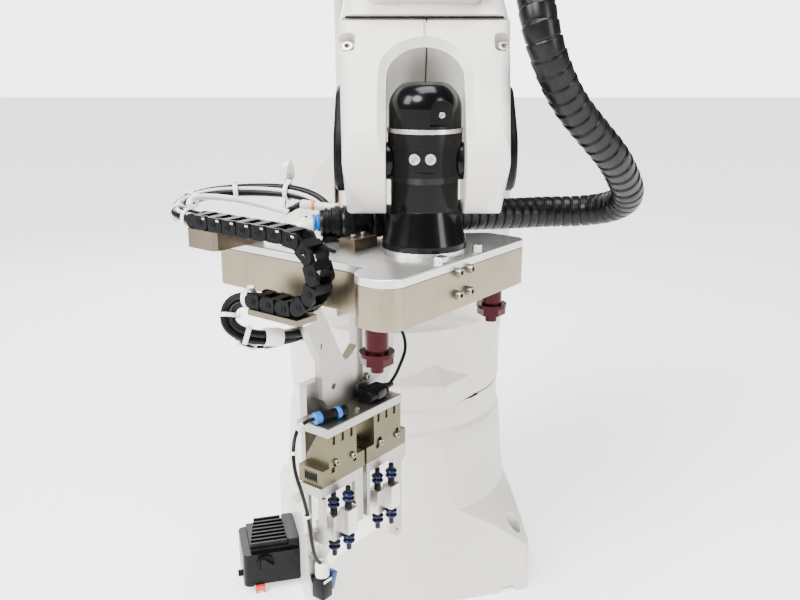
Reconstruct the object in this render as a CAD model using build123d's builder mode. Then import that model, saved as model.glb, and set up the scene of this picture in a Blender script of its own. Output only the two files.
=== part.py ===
from build123d import *
from math import cos, pi, radians, sin, tan
import os

os.makedirs("parts", exist_ok=True)

# Driving dimensions, in millimetres and degrees

base_turn = 15.2        # the foot square is turned this far from the arm's plane
foot_side = 327         # square foot, over its flat sides
foot_corner = 8         # corner radius of the foot in plan
lug_h = 66              # upright sides of the foot
draft = 1.7             # draft of the flat sides above that
lug_r = 202             # anchor bolts, from the turret axis
anchor_d = 14           # clearance hole for an M12 anchor
pocket_r = 11           # spot-faced pocket over each anchor hole
base_h = 306            # top of the base, where the turret turns
ring_r = 154.5          # plain band under the turret seam
turret_r = 156.5
cheek_in = 79           # inner face of each turret cheek
cheek_out = 149         # outer face of each turret cheek
running_gap = 0.5       # between faces that turn on each other

arm_x = 32                              # the forearm's plane lies this far to the right of the turret axis
j2 = Vector(0, 0, 545)                  # shoulder axis
j5 = Vector(arm_x, -398, 670)           # wrist bend axis
fore_pitch = 50                         # forearm below horizontal in the rest pose
elbow_s = 460                           # elbow axis, along the forearm from the wrist bend axis
elbow_n = -60                           # and below the forearm's centre line
roll_s = 262                            # forearm roll seam
barrel_r = 80                           # forearm barrel at the roll seam
fork_half = 85                          # half width of the fork at its bolted seam
tip_half = 76                           # and at its tip
slot_half = 37.5                        # half the gap between the fork's arms
rim = 8                                 # bevelled rim of the slot
fork_r = 51                             # rounded ends of the fork arms
arch_s = 63                             # centre of the slot's round end
fork_end_s = 134                        # bolted seam between fork and forearm

wrist_r = 36
flange_r = 42
plate_top = 580                         # top of the tool box, under the wrist flange
box_h = 48                              # tool box height with its lid
lid_h = 8
tool_turn = 52.6                        # the tool's long face against the arm's crosswise axis

# Frames of reference

fore = Plane(origin=j5, x_dir=(1, 0, 0), z_dir=(0, cos(radians(fore_pitch)), sin(radians(fore_pitch))))
# fore: X crosswise, Y to the underside, Z back along the forearm
fore_front = Plane(origin=j5, x_dir=(1, 0, 0), z_dir=-fore.y_dir)      # X crosswise, Y back along the forearm
tool = Plane(origin=(j5.X, j5.Y, 0), x_dir=(cos(radians(tool_turn)), sin(radians(tool_turn)), 0), z_dir=(0, 0, 1))
foot = Plane(origin=(0, 0, 0), x_dir=(cos(radians(base_turn)), sin(radians(base_turn)), 0), z_dir=(0, 0, 1))
j3 = fore.from_local_coords(Vector(-arm_x, -elbow_n, elbow_s))
side = Plane.YZ                         # side outlines of turret and upper arm
arm_side = Plane.YZ.offset(arm_x)       # side outlines of the forearm


def beside(n, s):
    """Place in a side outline, n above the forearm's centre line and s back along it."""
    p = fore.from_local_coords(Vector(0, -n, s))
    return (p.Y, p.Z)


def tool_point(u, v, z):
    """Row coordinates of a point given along the tool's long face, across it and up."""
    return tool.from_local_coords(Vector(u, v, z))


def tool_face(v):
    """Plane across the tool at v, seen from the front: X along the long face, Y up."""
    return Plane(origin=tool_point(0, v, 0), x_dir=tool.x_dir, z_dir=-tool.y_dir)


def tool_end(u):
    """Plane along the tool at u: X across the tool, Y up, pointing along the long face."""
    return Plane(origin=tool_point(u, 0, 0), x_dir=tool.y_dir, z_dir=tool.x_dir)


def save(builder, name):
    builder.part.label = name
    export_step(builder.part, f"parts/{name}.step")


def tube(name, points, diameter):
    """Plain tube along straight runs joined by arcs as large as the runs allow."""
    corners = [Vector(*p) for p in points]
    radii = []
    for before, here, after in zip(corners, corners[1:], corners[2:]):
        turn = (here - before).get_angle(after - here)
        shorter = min((here - before).length, (after - here).length)
        radii.append(0.45 * shorter / tan(radians(turn / 2)))
    with BuildPart() as cord:
        with BuildLine() as route:
            FilletPolyline(*corners, radius=radii)
        path = route.wire()
        with BuildSketch(Plane(origin=path @ 0, z_dir=path % 0)):
            Circle(diameter / 2)
        sweep(path=path)
    share = cord.part.volume / (path.length * pi * diameter ** 2 / 4)
    print(name, "length", round(path.length), "radii", [round(r) for r in radii], "of diameter", diameter,
          "volume share", round(share, 3))
    save(cord, name)


# Base casting: a round column that flares into a square foot with four bolt lugs

with BuildPart() as foot_prism:
    with BuildSketch(foot):
        RectangleRounded(foot_side, foot_side, foot_corner)
    extrude(amount=lug_h)
    with BuildSketch(foot.offset(lug_h)):
        RectangleRounded(foot_side, foot_side, foot_corner)
    extrude(amount=base_h - lug_h, taper=draft)

with BuildPart() as base_casting:
    with BuildSketch(Plane.XZ):
        with BuildLine():
            Polyline(
                (0, 0), (225, 0), (228, 3), (228, lug_h), (223.5, lug_h + 11), (176, 134), (168, 146), (163.5, 187),
                (160, 248), (157.5, 262), (ring_r, 269), (ring_r, base_h), (0, base_h), (0, 0),
            )
        make_face()
    revolve(axis=Axis.Z)
    add(foot_prism.part, mode=Mode.INTERSECT)
    with Locations(foot):
        with PolarLocations(lug_r, 4, start_angle=45):
            Hole(anchor_d / 2)
    with Locations(foot.offset(60)):
        with PolarLocations(lug_r, 4, start_angle=45):
            Cylinder(pocket_r, 100, align=(Align.CENTER, Align.CENTER, Align.MIN), mode=Mode.SUBTRACT)
    # small arched drain at the bottom of the front face
    with BuildSketch(Plane(origin=foot.from_local_coords(Vector(130, -foot_side / 2, 0)), x_dir=foot.x_dir,
                           z_dir=-foot.y_dir)):
        Rectangle(24, 8)
        with Locations((0, 4)):
            Ellipse(12, 6)
    extrude(amount=-9, mode=Mode.SUBTRACT)
save(base_casting, "base_casting")

# Connector panel on the back of the base, with its sockets

panel_y = foot_side / 2
with BuildPart() as base_panel:
    with BuildSketch(foot.offset(70)):
        with Locations((0, panel_y - 8)):
            Rectangle(150, 32)
    extrude(amount=120)
    fillet(base_panel.edges().filter_by(Axis.Z), 5)
    add(base_casting.part, mode=Mode.SUBTRACT)
    back = Plane(origin=foot.from_local_coords(Vector(0, panel_y + 8, 130)), x_dir=-foot.x_dir, z_dir=foot.y_dir)
    with BuildSketch(back):
        with Locations((-48, 22)):
            Circle(17)
        with Locations((-48, -26)):
            Circle(12)
        with Locations((14, 12)):
            RectangleRounded(56, 30, 4)
        with Locations((-4, -28), (30, -28)):
            Circle(9)
    extrude(amount=9)
save(base_panel, "base_panel")

# Finned unit on the left side of the base, with its ribs, knob and latch

unit_x = -foot_side / 2
unit_v = -28                # middle of the unit along the side of the foot
unit_w = 84
with BuildPart() as finned_unit:
    with BuildSketch(foot.offset(12)):
        with Locations((unit_x - unit_w / 2, unit_v)):
            RectangleRounded(unit_w, unit_w, 9)
    extrude(amount=52)
    # deck under the fins, drawn in at the outer end
    with BuildSketch(foot.offset(64)):
        with Locations((unit_x - 36, unit_v + 2)):
            Rectangle(72, unit_w - 8)
    extrude(amount=6)
    # fins, each a little shorter than the one before it
    for i in range(8):
        length = 58 - 2.4 * i
        with BuildSketch(foot.offset(70)):
            with Locations((unit_x - 72 + 1.6 * i + length / 2, unit_v - 31 + 9.2 * i)):
                Rectangle(length, 3.6)
        extrude(amount=7 + 0.5 * i)
    # smooth shroud at the end of the fins
    with BuildSketch(foot.offset(70)):
        with Locations((unit_x - 9, unit_v + 2)):
            RectangleRounded(18, unit_w - 8, 5)
    extrude(amount=9)
    # lower half of the front face falls back below a slanting crease
    front = Plane(origin=foot.from_local_coords(Vector(unit_x, unit_v - unit_w / 2, 0)), x_dir=foot.x_dir,
                  z_dir=-foot.y_dir)
    with BuildSketch(front):
        with BuildLine():
            Polyline((-2, 12), (-2, 58), (-70, 20), (-70, 12), (-2, 12))
        make_face()
    extrude(amount=-3, mode=Mode.SUBTRACT)
    # gland of the cord at the outer end
    with BuildSketch(Plane(origin=foot.from_local_coords(Vector(unit_x - unit_w, unit_v - 20, 24)), x_dir=foot.y_dir,
                           z_dir=-foot.x_dir)):
        Circle(5)
    extrude(amount=7)
save(finned_unit, "finned_unit")

with BuildPart() as unit_knob:
    with BuildSketch(Plane(origin=foot.from_local_coords(Vector(unit_x - 52, unit_v - unit_w / 2, 50)),
                           x_dir=foot.x_dir, z_dir=-foot.y_dir)):
        Circle(12)
    extrude(amount=4)
    # pointed grip across the knob
    with BuildSketch(Plane(origin=foot.from_local_coords(Vector(unit_x - 52, unit_v - unit_w / 2 - 4, 50)),
                           x_dir=foot.x_dir, z_dir=-foot.y_dir)):
        with BuildLine():
            Polyline((-9, 11), (-3, 13), (13, 0), (9, -5), (-9, -8), (-9, 11))
        make_face()
    extrude(amount=7, taper=14)
save(unit_knob, "unit_knob")

with BuildPart() as unit_latch:
    with BuildSketch(Plane(origin=foot.from_local_coords(Vector(unit_x - 61, unit_v - 34, 0)), x_dir=foot.x_dir,
                           z_dir=-foot.y_dir)):
        with BuildLine():
            Polyline((-7, 12), (7, 12), (7, 1), (4, 1), (3, 5), (-3, 5), (-4, 1), (-7, 1), (-7, 12))
        make_face()
    extrude(amount=10)
save(unit_latch, "unit_latch")

# Turret: a round drum with a chin in front and two cheeks that carry the shoulder

chin_y = -163
with BuildPart() as turret_casting:
    with BuildSketch(Plane.XY.offset(base_h + running_gap)):
        Circle(ring_r - 4)
    extrude(amount=4)
    with BuildSketch(Plane.XZ):
        with BuildLine():
            Polyline((0, base_h + 2.5), (turret_r - 2, base_h + 2.5), (turret_r, base_h + 6), (turret_r - 1, 414),
                     (0, 414), (0, base_h + 2.5))
        make_face()
    revolve(axis=Axis.Z)
    with BuildSketch(Plane.XZ.offset(100)):
        with BuildLine():
            Line((cheek_out, base_h + 90), (cheek_out, j2.Z))
            RadiusArc((cheek_out, j2.Z), (-cheek_out, j2.Z), -cheek_out)
            Line((-cheek_out, j2.Z), (-cheek_out, base_h + 90))
            Line((-cheek_out, base_h + 90), (cheek_out, base_h + 90))
        make_face()
    extrude(amount=-215)
    outer_rims = turret_casting.edges().filter_by(GeomType.CIRCLE).filter_by(
        lambda e: abs(e.radius - cheek_out) < 0.5)
    chamfer(outer_rims, 22)
    # slot for the upper arm
    with BuildSketch(side):
        with Locations((0, 570)):
            Rectangle(340, 300)
    extrude(amount=cheek_in, both=True, mode=Mode.SUBTRACT)
    # chin: flat front with slanting sides, its top drawn back
    with BuildSketch(Plane.XY.offset(base_h + 2.5)):
        with BuildLine():
            Polyline((-67, chin_y), (67, chin_y), (111, -109), (111, -60), (-111, -60), (-111, -109), (-67, chin_y))
        make_face()
    extrude(amount=32)
    with BuildSketch(Plane.XY.offset(base_h + 34.5)):
        with BuildLine():
            Polyline((-67, chin_y), (67, chin_y), (111, -109), (111, -60), (-111, -60), (-111, -109), (-67, chin_y))
        make_face()
    with BuildSketch(Plane.XY.offset(base_h + 70)):
        with BuildLine():
            Polyline((-50, -140), (50, -140), (88, -100), (88, -60), (-88, -60), (-88, -100), (-50, -140))
        make_face()
    loft()
save(turret_casting, "turret_casting")

for name, direction in (("shoulder_cover_left", -1), ("shoulder_cover_right", 1)):
    with BuildPart() as shoulder_cover:
        with BuildSketch(Plane(origin=(direction * cheek_out, 0, j2.Z), x_dir=(0, 1, 0), z_dir=(direction, 0, 0))):
            Circle(76)
        extrude(amount=9, taper=8)
        with BuildSketch(Plane(origin=(direction * (cheek_out + 9), 0, j2.Z), x_dir=(0, 1, 0),
                               z_dir=(direction, 0, 0))):
            Circle(50)
        extrude(amount=-3, mode=Mode.SUBTRACT)
        # cap screws' spot faces round the rim
        with Locations(Plane(origin=(direction * (cheek_out + 9), 0, j2.Z), x_dir=(0, 1, 0), z_dir=(direction, 0, 0))):
            with PolarLocations(62, 8):
                CounterBoreHole(2.6, 5, 5, depth=8)
    save(shoulder_cover, name)

# Upper arm: one casting from the shoulder to the elbow

hub2_r, hub3_r = 96, 66
with BuildPart() as upper_arm:
    with BuildSketch(side):
        with Locations((j2.Y, j2.Z)):
            Circle(hub2_r)
        with Locations((j3.Y, j3.Z)):
            Circle(hub3_r)
        make_hull()
    extrude(amount=cheek_in - 5, both=True)
    chamfer(upper_arm.faces().filter_by(Axis.X).edges(), 9)
    # hubs that run against the cheeks and the elbow's ears
    with BuildSketch(side):
        with Locations((j2.Y, j2.Z)):
            Circle(70)
    extrude(amount=cheek_in - running_gap, both=True)
    with BuildSketch(side):
        with Locations((j3.Y, j3.Z)):
            Circle(50)
    extrude(amount=cheek_in - running_gap, both=True)
save(upper_arm, "upper_arm")

# Elbow housing: two ears on the elbow axis and the barrel that carries the forearm roll

ear_left, ear_right = 108, 140          # outer faces, left and right of the turret axis
with BuildPart() as elbow_housing:
    with BuildSketch(fore.offset(roll_s)):
        Circle(barrel_r)
    extrude(amount=40)
    with BuildSketch(side.offset(-ear_left)):
        with BuildLine():
            Polyline(beside(-62, roll_s + 30), beside(-62, 520), beside(0, 560), beside(70, 560),
                     beside(74, roll_s + 30), close=True)
        make_face()
    extrude(amount=ear_left + ear_right)
    with BuildSketch(side.offset(-ear_left)):
        with Locations((j3.Y, j3.Z)):
            Circle(72)
    extrude(amount=ear_left + ear_right)
    chamfer(elbow_housing.faces().filter_by(Axis.X).edges(), 7)
    # room for the upper arm between the ears
    with BuildSketch(side):
        with Locations((j3.Y, j3.Z)):
            Circle(80)
        with BuildLine():
            Polyline(beside(-20, 378), beside(-62, 345), beside(-200, 345), beside(-200, 660), beside(-8, 660),
                     beside(-8, 470), close=True)
        make_face()
    extrude(amount=cheek_in, both=True, mode=Mode.SUBTRACT)
save(elbow_housing, "elbow_housing")

with BuildPart() as elbow_motor_cover:
    with BuildSketch(fore.offset(560)):
        with Locations((-16, -34)):
            RectangleRounded(186, 66, 14)
    extrude(amount=46)
    fillet(elbow_motor_cover.faces().sort_by(Axis.Z)[-1].edges(), 12)
save(elbow_motor_cover, "elbow_motor_cover")

# Forearm housing: rolls on the elbow and carries the fork

cover_s = 188
with BuildPart() as forearm_housing:
    with BuildSketch(fore.offset(fork_end_s)):
        RectangleRounded(2 * fork_half, 2 * fork_r + 4, 16)
    with BuildSketch(fore.offset(roll_s - 26)):
        Circle(barrel_r)
    loft()
    with BuildSketch(fore.offset(roll_s - 26)):
        Circle(barrel_r)
    extrude(amount=26 - running_gap)
    # raised pad under the cover plate
    with BuildSketch(Plane(origin=fore.from_local_coords(Vector(0, 0, cover_s)), x_dir=(1, 0, 0), z_dir=-fore.y_dir)):
        RectangleRounded(116, 84, 12)
    extrude(amount=76)
save(forearm_housing, "forearm_housing")

with BuildPart() as forearm_cover:
    with BuildSketch(Plane(origin=fore.from_local_coords(Vector(0, -76, cover_s)), x_dir=(1, 0, 0),
                           z_dir=-fore.y_dir)):
        RectangleRounded(110, 78, 12)
        with GridLocations(94, 62, 2, 2):
            Circle(2.8, mode=Mode.SUBTRACT)
    extrude(amount=5)
    add(forearm_housing.part, mode=Mode.SUBTRACT)
save(forearm_cover, "forearm_cover")

# Wrist fork: two arms with rounded ends either side of an arched slot

with BuildPart() as wrist_fork:
    with BuildSketch(fore_front):
        with BuildLine() as fork_outline:
            FilletPolyline((-fork_half, fork_end_s), (-tip_half, -fork_r), (tip_half, -fork_r),
                           (fork_half, fork_end_s), radius=22)
            Line((fork_half, fork_end_s), (-fork_half, fork_end_s))
        make_face()
    extrude(amount=fork_r, both=True)
    long_edges = wrist_fork.edges().filter_by(GeomType.LINE).filter_by(lambda e: e.length > 140)
    fillet(long_edges, 9)
    with BuildSketch(arm_side):
        with BuildLine():
            ThreePointArc(beside(fork_r, 0), beside(0, -fork_r), beside(-fork_r, 0))
            Line(beside(-fork_r, 0), beside(-fork_r, fork_end_s))
            Line(beside(-fork_r, fork_end_s), beside(fork_r, fork_end_s))
            Line(beside(fork_r, fork_end_s), beside(fork_r, 0))
        make_face()
    extrude(amount=fork_half + 5, both=True, mode=Mode.INTERSECT)
    with BuildSketch(fore_front):
        with Locations((0, (arch_s - 80) / 2)):
            Rectangle(2 * slot_half, arch_s + 80)
        with Locations((0, arch_s)):
            Circle(slot_half)
    extrude(amount=fork_r + 10, both=True, mode=Mode.SUBTRACT)
    # bevelled rim round the slot on the front
    with BuildSketch(fore_front.offset(fork_r)):
        with Locations((0, (arch_s - 80) / 2)):
            Rectangle(2 * (slot_half + rim), arch_s + 80)
        with Locations((0, arch_s)):
            Circle(slot_half + rim)
    extrude(amount=-6, taper=50, mode=Mode.SUBTRACT)
    # pockets for the two screws at the upper corners
    for sign in (-1, 1):
        with BuildSketch(fore_front.offset(fork_r)):
            with Locations((sign * 78, 102)):
                RectangleRounded(21, 22, 5)
        extrude(amount=-12, mode=Mode.SUBTRACT)
    # seam groove below the forearm
    with BuildSketch(fore_front.offset(fork_r)):
        with Locations((0, fork_end_s - 1.5)):
            Rectangle(2 * fork_half + 10, 3)
    extrude(amount=-2, mode=Mode.SUBTRACT)
    # split line above the arch
    with BuildSketch(fore_front.offset(fork_r)):
        with Locations((0, 118)):
            Rectangle(1.6, 30)
    extrude(amount=-1.5, mode=Mode.SUBTRACT)
save(wrist_fork, "wrist_fork")

cover_x = 79.5              # inner face of the covers, near the middle of the fork arms
for name, direction in (("fork_cover_left", -1), ("fork_cover_right", 1)):
    with BuildPart() as fork_cover:
        with BuildSketch(Plane(origin=(arm_x + direction * 70, j5.Y, j5.Z), x_dir=(0, 1, 0), z_dir=(direction, 0, 0))):
            with Locations((fore.z_dir.Y * 8, direction * fore.z_dir.Z * 8)):
                Circle(36)
            with Locations((fore.z_dir.Y * 52, direction * fore.z_dir.Z * 52)):
                Circle(30)
            make_hull()
        extrude(amount=cover_x + 7 - 70)
        chamfer(fork_cover.faces().filter_by(Axis.X).sort_by(lambda f: direction * f.center().X)[-1].edges(), 2.5)
        add(wrist_fork.part, mode=Mode.SUBTRACT)
    save(fork_cover, name)

# Wrist unit: black body on the bend axis, silver ring, domed cap and flared skirt

wrist_axis = Axis((j5.X, j5.Y, 0), (0, 0, 1))
wrist_side = Plane(origin=(j5.X, j5.Y, 0), x_dir=(1, 0, 0), z_dir=(0, -1, 0))

ring_z = 698
dome_z = 702
with BuildPart() as wrist_dome:
    with BuildSketch(wrist_side):
        with BuildLine():
            Line((0, dome_z), (35, dome_z))
            Line((35, dome_z), (35, 719))
            ThreePointArc((35, 719), (31.5, 733), (22, 742.5))
            Line((22, 742.5), (17, 744))
            Line((17, 744), (0, 744))
            Line((0, 744), (0, dome_z))
        make_face()
    revolve(axis=wrist_axis)
    # tear-shaped pocket with a flat floor, right of the middle
    with BuildSketch(wrist_side.offset(wrist_r)):
        with BuildLine():
            Line((4, 705), (27, 705))
            Line((27, 705), (27, 714))
            ThreePointArc((27, 714), (20, 727), (9, 727))
            ThreePointArc((9, 727), (4, 720), (4, 705))
        make_face()
    extrude(amount=-11, mode=Mode.SUBTRACT)
save(wrist_dome, "wrist_dome")

with BuildPart() as wrist_ring:
    with BuildSketch(wrist_side):
        with BuildLine():
            Polyline((0, ring_z), (wrist_r + 0.5, ring_z), (wrist_r + 0.5, dome_z), (0, dome_z), (0, ring_z))
        make_face()
    revolve(axis=wrist_axis)
save(wrist_ring, "wrist_ring")

body_z = 657
neck_z = 624
with BuildPart() as wrist_body:
    with BuildSketch(wrist_side):
        with BuildLine():
            Polyline((0, neck_z), (33, neck_z), (33, body_z - 6), (wrist_r - 1.5, body_z - 3), (wrist_r, body_z),
                     (wrist_r, ring_z), (0, ring_z), (0, neck_z))
        make_face()
    revolve(axis=wrist_axis)
    # flat seat of the two screws
    with BuildSketch(wrist_side.offset(33.5)):
        with Locations((-3, 673)):
            RectangleRounded(38, 22, 4)
    extrude(amount=10, mode=Mode.SUBTRACT)
    # trunnions on the bend axis
    with BuildSketch(arm_side):
        with Locations((j5.Y, j5.Z)):
            Circle(18)
    extrude(amount=slot_half - 0.3, both=True)
save(wrist_body, "wrist_body")

with BuildPart() as wrist_skirt:
    with BuildSketch(wrist_side):
        with BuildLine():
            Line((0, 586.5), (flange_r, 586.5))
            Line((flange_r, 586.5), (flange_r, 592))
            ThreePointArc((flange_r, 592), (37.5, 607), (33, neck_z))
            Line((33, neck_z), (0, neck_z))
            Line((0, neck_z), (0, 586.5))
        make_face()
    revolve(axis=wrist_axis)
save(wrist_skirt, "wrist_skirt")

# Tool side: flange, box, lid, posts

with BuildPart() as tool_flange:
    with BuildSketch(tool.offset(plate_top)):
        Circle(flange_r)
    extrude(amount=6)
save(tool_flange, "tool_flange")

with BuildPart() as flange_locator:
    with BuildSketch(tool.offset(plate_top)):
        with Locations((29, -44)):
            Circle(5)
    extrude(amount=8)
    with BuildSketch(tool.offset(plate_top)):
        with Locations((-30, -42)):
            Rectangle(11, 9)
    extrude(amount=6)
save(flange_locator, "flange_locator")

nose_u, back_u = -118, 118
face_v, arm_v = -50, 210
with BuildSketch(tool) as box_outline:
    with BuildLine():
        nose = FilletPolyline((-86, 3), (nose_u, 3), (nose_u, face_v), (112, face_v), (back_u, face_v + 8), radius=[22, 22, 8])
        Line(nose @ 1, (back_u, -3))
        Spline((back_u, -3), (101, 18), (66, 42), (40, 56))
        Polyline((40, 56), (40, arm_v), (-86, arm_v), (-86, 3))
    make_face()
    fillet(box_outline.vertices().sort_by(lambda v: v.Y * tool.y_dir.Y + v.X * tool.y_dir.X)[-2:], 8)

edge_break = 0.8
with BuildPart() as tool_box:
    add(box_outline.sketch.moved(Location((0, 0, plate_top - box_h))))
    extrude(amount=box_h - lid_h)
    chamfer(tool_box.faces().sort_by(Axis.Z)[-1].edges(), edge_break)
save(tool_box, "tool_box")

with BuildPart() as tool_lid:
    add(box_outline.sketch.moved(Location((0, 0, plate_top - lid_h))))
    extrude(amount=lid_h)
    chamfer(tool_lid.faces().sort_by(Axis.Z)[-1].edges(), edge_break)
save(tool_lid, "tool_lid")

box_low = plate_top - box_h
for name, u in (("post_near", -103), ("post_far", 96)):
    with BuildPart() as post:
        with BuildSketch(tool.offset(box_low)):
            with Locations((u, -22)):
                Circle(11)
        extrude(amount=-24)
        with BuildSketch(tool.offset(box_low - 24)):
            with Locations((u, -22)):
                Circle(16.5)
        extrude(amount=-4)
        with BuildSketch(tool.offset(box_low - 28)):
            with Locations((u, -22)):
                RegularPolygon(15.5, 6)
        extrude(amount=-8)
        with BuildSketch(tool.offset(box_low - 36)):
            with Locations((u, -22)):
                Circle(6.5)
        extrude(amount=-8)
    save(post, name)

with BuildPart() as clamp_block:
    with BuildSketch(tool.offset(plate_top)):
        with Locations((-28, 62)):
            Rectangle(36, 20)
    extrude(amount=12)
    chamfer(clamp_block.faces().sort_by(Axis.Z)[-1].edges(), 1)
save(clamp_block, "clamp_block")

# Energy chain on the outer side of the box's long arm: links on their pivots, each with stepped side plates

chain_u0, chain_u1 = -130, -105
link_r = 7.3                # half the height of a link
plate_t = 2.2               # thickness of one side plate
bend_v, bend_z, bend_r = 68, 572, 35
with BuildLine() as chain_path:
    Line((200, bend_z + bend_r), (bend_v, bend_z + bend_r))
    ThreePointArc((bend_v, bend_z + bend_r), (bend_v - bend_r, bend_z), (bend_v, bend_z - bend_r))
    Line((bend_v, bend_z - bend_r), (116, bend_z - bend_r))
chain_wire = chain_path.wire()
link_count = 14
pivots = [chain_wire @ (i / link_count) for i in range(link_count + 1)]
with BuildPart() as energy_chain:
    for start, end in zip(pivots, pivots[1:]):
        half = (end - start).length / 2
        middle = tool_point(chain_u0, (start.X + end.X) / 2, (start.Y + end.Y) / 2)
        along = tool.y_dir * ((end.X - start.X) / (2 * half)) + Vector(0, 0, 1) * ((end.Y - start.Y) / (2 * half))
        link = Plane(origin=middle, x_dir=along, z_dir=tool.x_dir)
        for near, far in ((0, plate_t), (chain_u1 - chain_u0 - plate_t, chain_u1 - chain_u0)):
            inward = plate_t + 0.2 if near == 0 else -plate_t - 0.2
            # outer half of the side plate, ahead of the middle
            with BuildSketch(link.offset(near)):
                with Locations((half, 0)):
                    Circle(link_r)
                with Locations((half / 2 - 1, 0)):
                    Rectangle(half + 2, 2 * link_r)
            extrude(amount=far - near)
            # inner half, behind the middle
            with BuildSketch(link.offset(near + inward)):
                with Locations((-half, 0)):
                    Circle(link_r)
                with Locations((-half / 2 + 1, 0)):
                    Rectangle(half + 2, 2 * link_r)
            extrude(amount=far - near)
            # step between the two halves, and the pivot pin
            with BuildSketch(link.offset(min(near, near + inward))):
                Rectangle(3, 2 * link_r)
                with Locations((half, 0)):
                    Circle(2.6)
            extrude(amount=2 * plate_t + 0.2)
        # crossbars
        with BuildSketch(link.offset(plate_t)):
            with Locations((0, link_r - 1.1), (0, 1.1 - link_r)):
                Rectangle(9, 2.2)
        extrude(amount=chain_u1 - chain_u0 - 2 * plate_t)
save(energy_chain, "energy_chain")

with BuildPart() as chain_bracket_fixed:
    with BuildSketch(tool.offset(plate_top)):
        with Locations((-95, 184)):
            Rectangle(70, 44)
    extrude(amount=bend_z + bend_r - link_r - plate_top)
    chamfer(chain_bracket_fixed.edges().filter_by(Axis.Z), 4)
save(chain_bracket_fixed, "chain_bracket_fixed")

# Carrier: a forked plate and a flat plate under the box's long arm

carrier_v = 90
with BuildPart() as carrier_bracket:
    with BuildSketch(tool_face(carrier_v)):
        with BuildLine():
            Polyline((-46, 399), (-56, 415), (-56, 457), (-96, box_low), (-63, box_low), (-24, 456), (-19, 450.5),
                     (-13, 450.5), (0, 462), (0, 399), (-46, 399))
        make_face()
        with Locations((-39, 426)):
            Circle(3.3, mode=Mode.SUBTRACT)
        with Locations((-57, 476)):
            Rectangle(1.8, 6, rotation=-12, mode=Mode.SUBTRACT)
    extrude(amount=-11)
    # rear bar that stands on the gripper bar, and the clamp of the lower cables
    with BuildSketch(tool.offset(399)):
        with Locations((-58, 106)):
            Rectangle(24, 10)
    extrude(amount=35)
    with BuildSketch(tool.offset(345)):
        with Locations((-58, 108)):
            Rectangle(24, 6)
    extrude(amount=55)
    with BuildSketch(tool.offset(481)):
        with Locations((-58, 109)):
            Rectangle(16, 16)
    extrude(amount=18)
    # shallow step along the right edge
    with BuildSketch(tool_face(carrier_v)):
        with Locations((-8, 424)):
            Rectangle(28, 60)
    extrude(amount=-0.8, mode=Mode.SUBTRACT)
save(carrier_bracket, "carrier_bracket")

with BuildPart() as carrier_plate:
    with BuildSketch(tool_face(carrier_v)):
        with BuildLine():
            Polyline((0, 399), (50, 399), (65, 424), (65, box_low), (0, box_low), (0, 399))
        make_face()
    extrude(amount=-10)
    # recess beside the forked plate
    with BuildSketch(tool_face(carrier_v)):
        with Locations((5, 455)):
            Rectangle(10, 76)
    extrude(amount=-4, mode=Mode.SUBTRACT)
    with Locations(tool_face(carrier_v)):
        with Locations((8, 405), (52, 470), (30, 500)):
            Hole(2.1)
save(carrier_plate, "carrier_plate")

moving_top = bend_z - bend_r - link_r
with BuildPart() as chain_bracket_moving:
    with BuildSketch(tool.offset(moving_top - 6)):
        with Locations((-118, 84)):
            Rectangle(28, 66)
        with Locations((-97, 96)):
            Rectangle(26, 22)
    extrude(amount=6)
    add(carrier_bracket.part, mode=Mode.SUBTRACT)
save(chain_bracket_moving, "chain_bracket_moving")

# Gripper: bar, two jaw bodies, cup frames, cup blocks and bellows cups

grip_v = 60
bar_low = 389
shelf_z = 355               # top of the bodies' wider lower half
body_low = 336
with BuildPart() as gripper_bar:
    with BuildSketch(tool.offset(bar_low)):
        with Locations((-21, grip_v + 22)):
            Rectangle(124, 44)
    extrude(amount=10)
    chamfer(gripper_bar.faces().sort_by(Axis.Z)[-1].edges(), edge_break)
save(gripper_bar, "gripper_bar")

for name, u_low0, u_low1, u_up0, u_up1 in (("gripper_body_left", -92, -25, -82, -38),
                                           ("gripper_body_right", -21, 49, -8, 40)):
    with BuildPart() as gripper_body:
        # upper half, its back slanting away
        with BuildSketch(tool_end(u_up0)):
            with BuildLine():
                Polyline((grip_v, shelf_z), (grip_v, bar_low), (grip_v + 16, bar_low), (grip_v + 32, 362),
                         (grip_v + 32, shelf_z), (grip_v, shelf_z))
            make_face()
        extrude(amount=u_up1 - u_up0)
        with BuildSketch(tool.offset(body_low)):
            with Locations(((u_low0 + u_low1) / 2, grip_v + 17)):
                Rectangle(u_low1 - u_low0, 34)
        extrude(amount=shelf_z - body_low)
        # spot faces of the two cap screws at the step, and slots under the bar
        with BuildSketch(tool_face(grip_v)):
            with Locations((u_up0 + 10, shelf_z + 2), (u_up1 - 7, shelf_z + 2)):
                Circle(3.4)
            with Locations((u_up0 + 6, shelf_z - 4), (u_up1 - 3, shelf_z - 4)):
                Rectangle(5, 6)
            with Locations((u_up0 + 8, bar_low - 5), (u_up0 + 22, bar_low - 5), (u_up0 + 36, bar_low - 5)):
                Rectangle(4, 10)
        extrude(amount=-2.5, mode=Mode.SUBTRACT)
        # port window in the left end
        with BuildSketch(tool_end(u_low0)):
            with Locations((grip_v + 17, (body_low + shelf_z) / 2)):
                Rectangle(18, 11)
        extrude(amount=3, mode=Mode.SUBTRACT)
    save(gripper_body, name)

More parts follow.
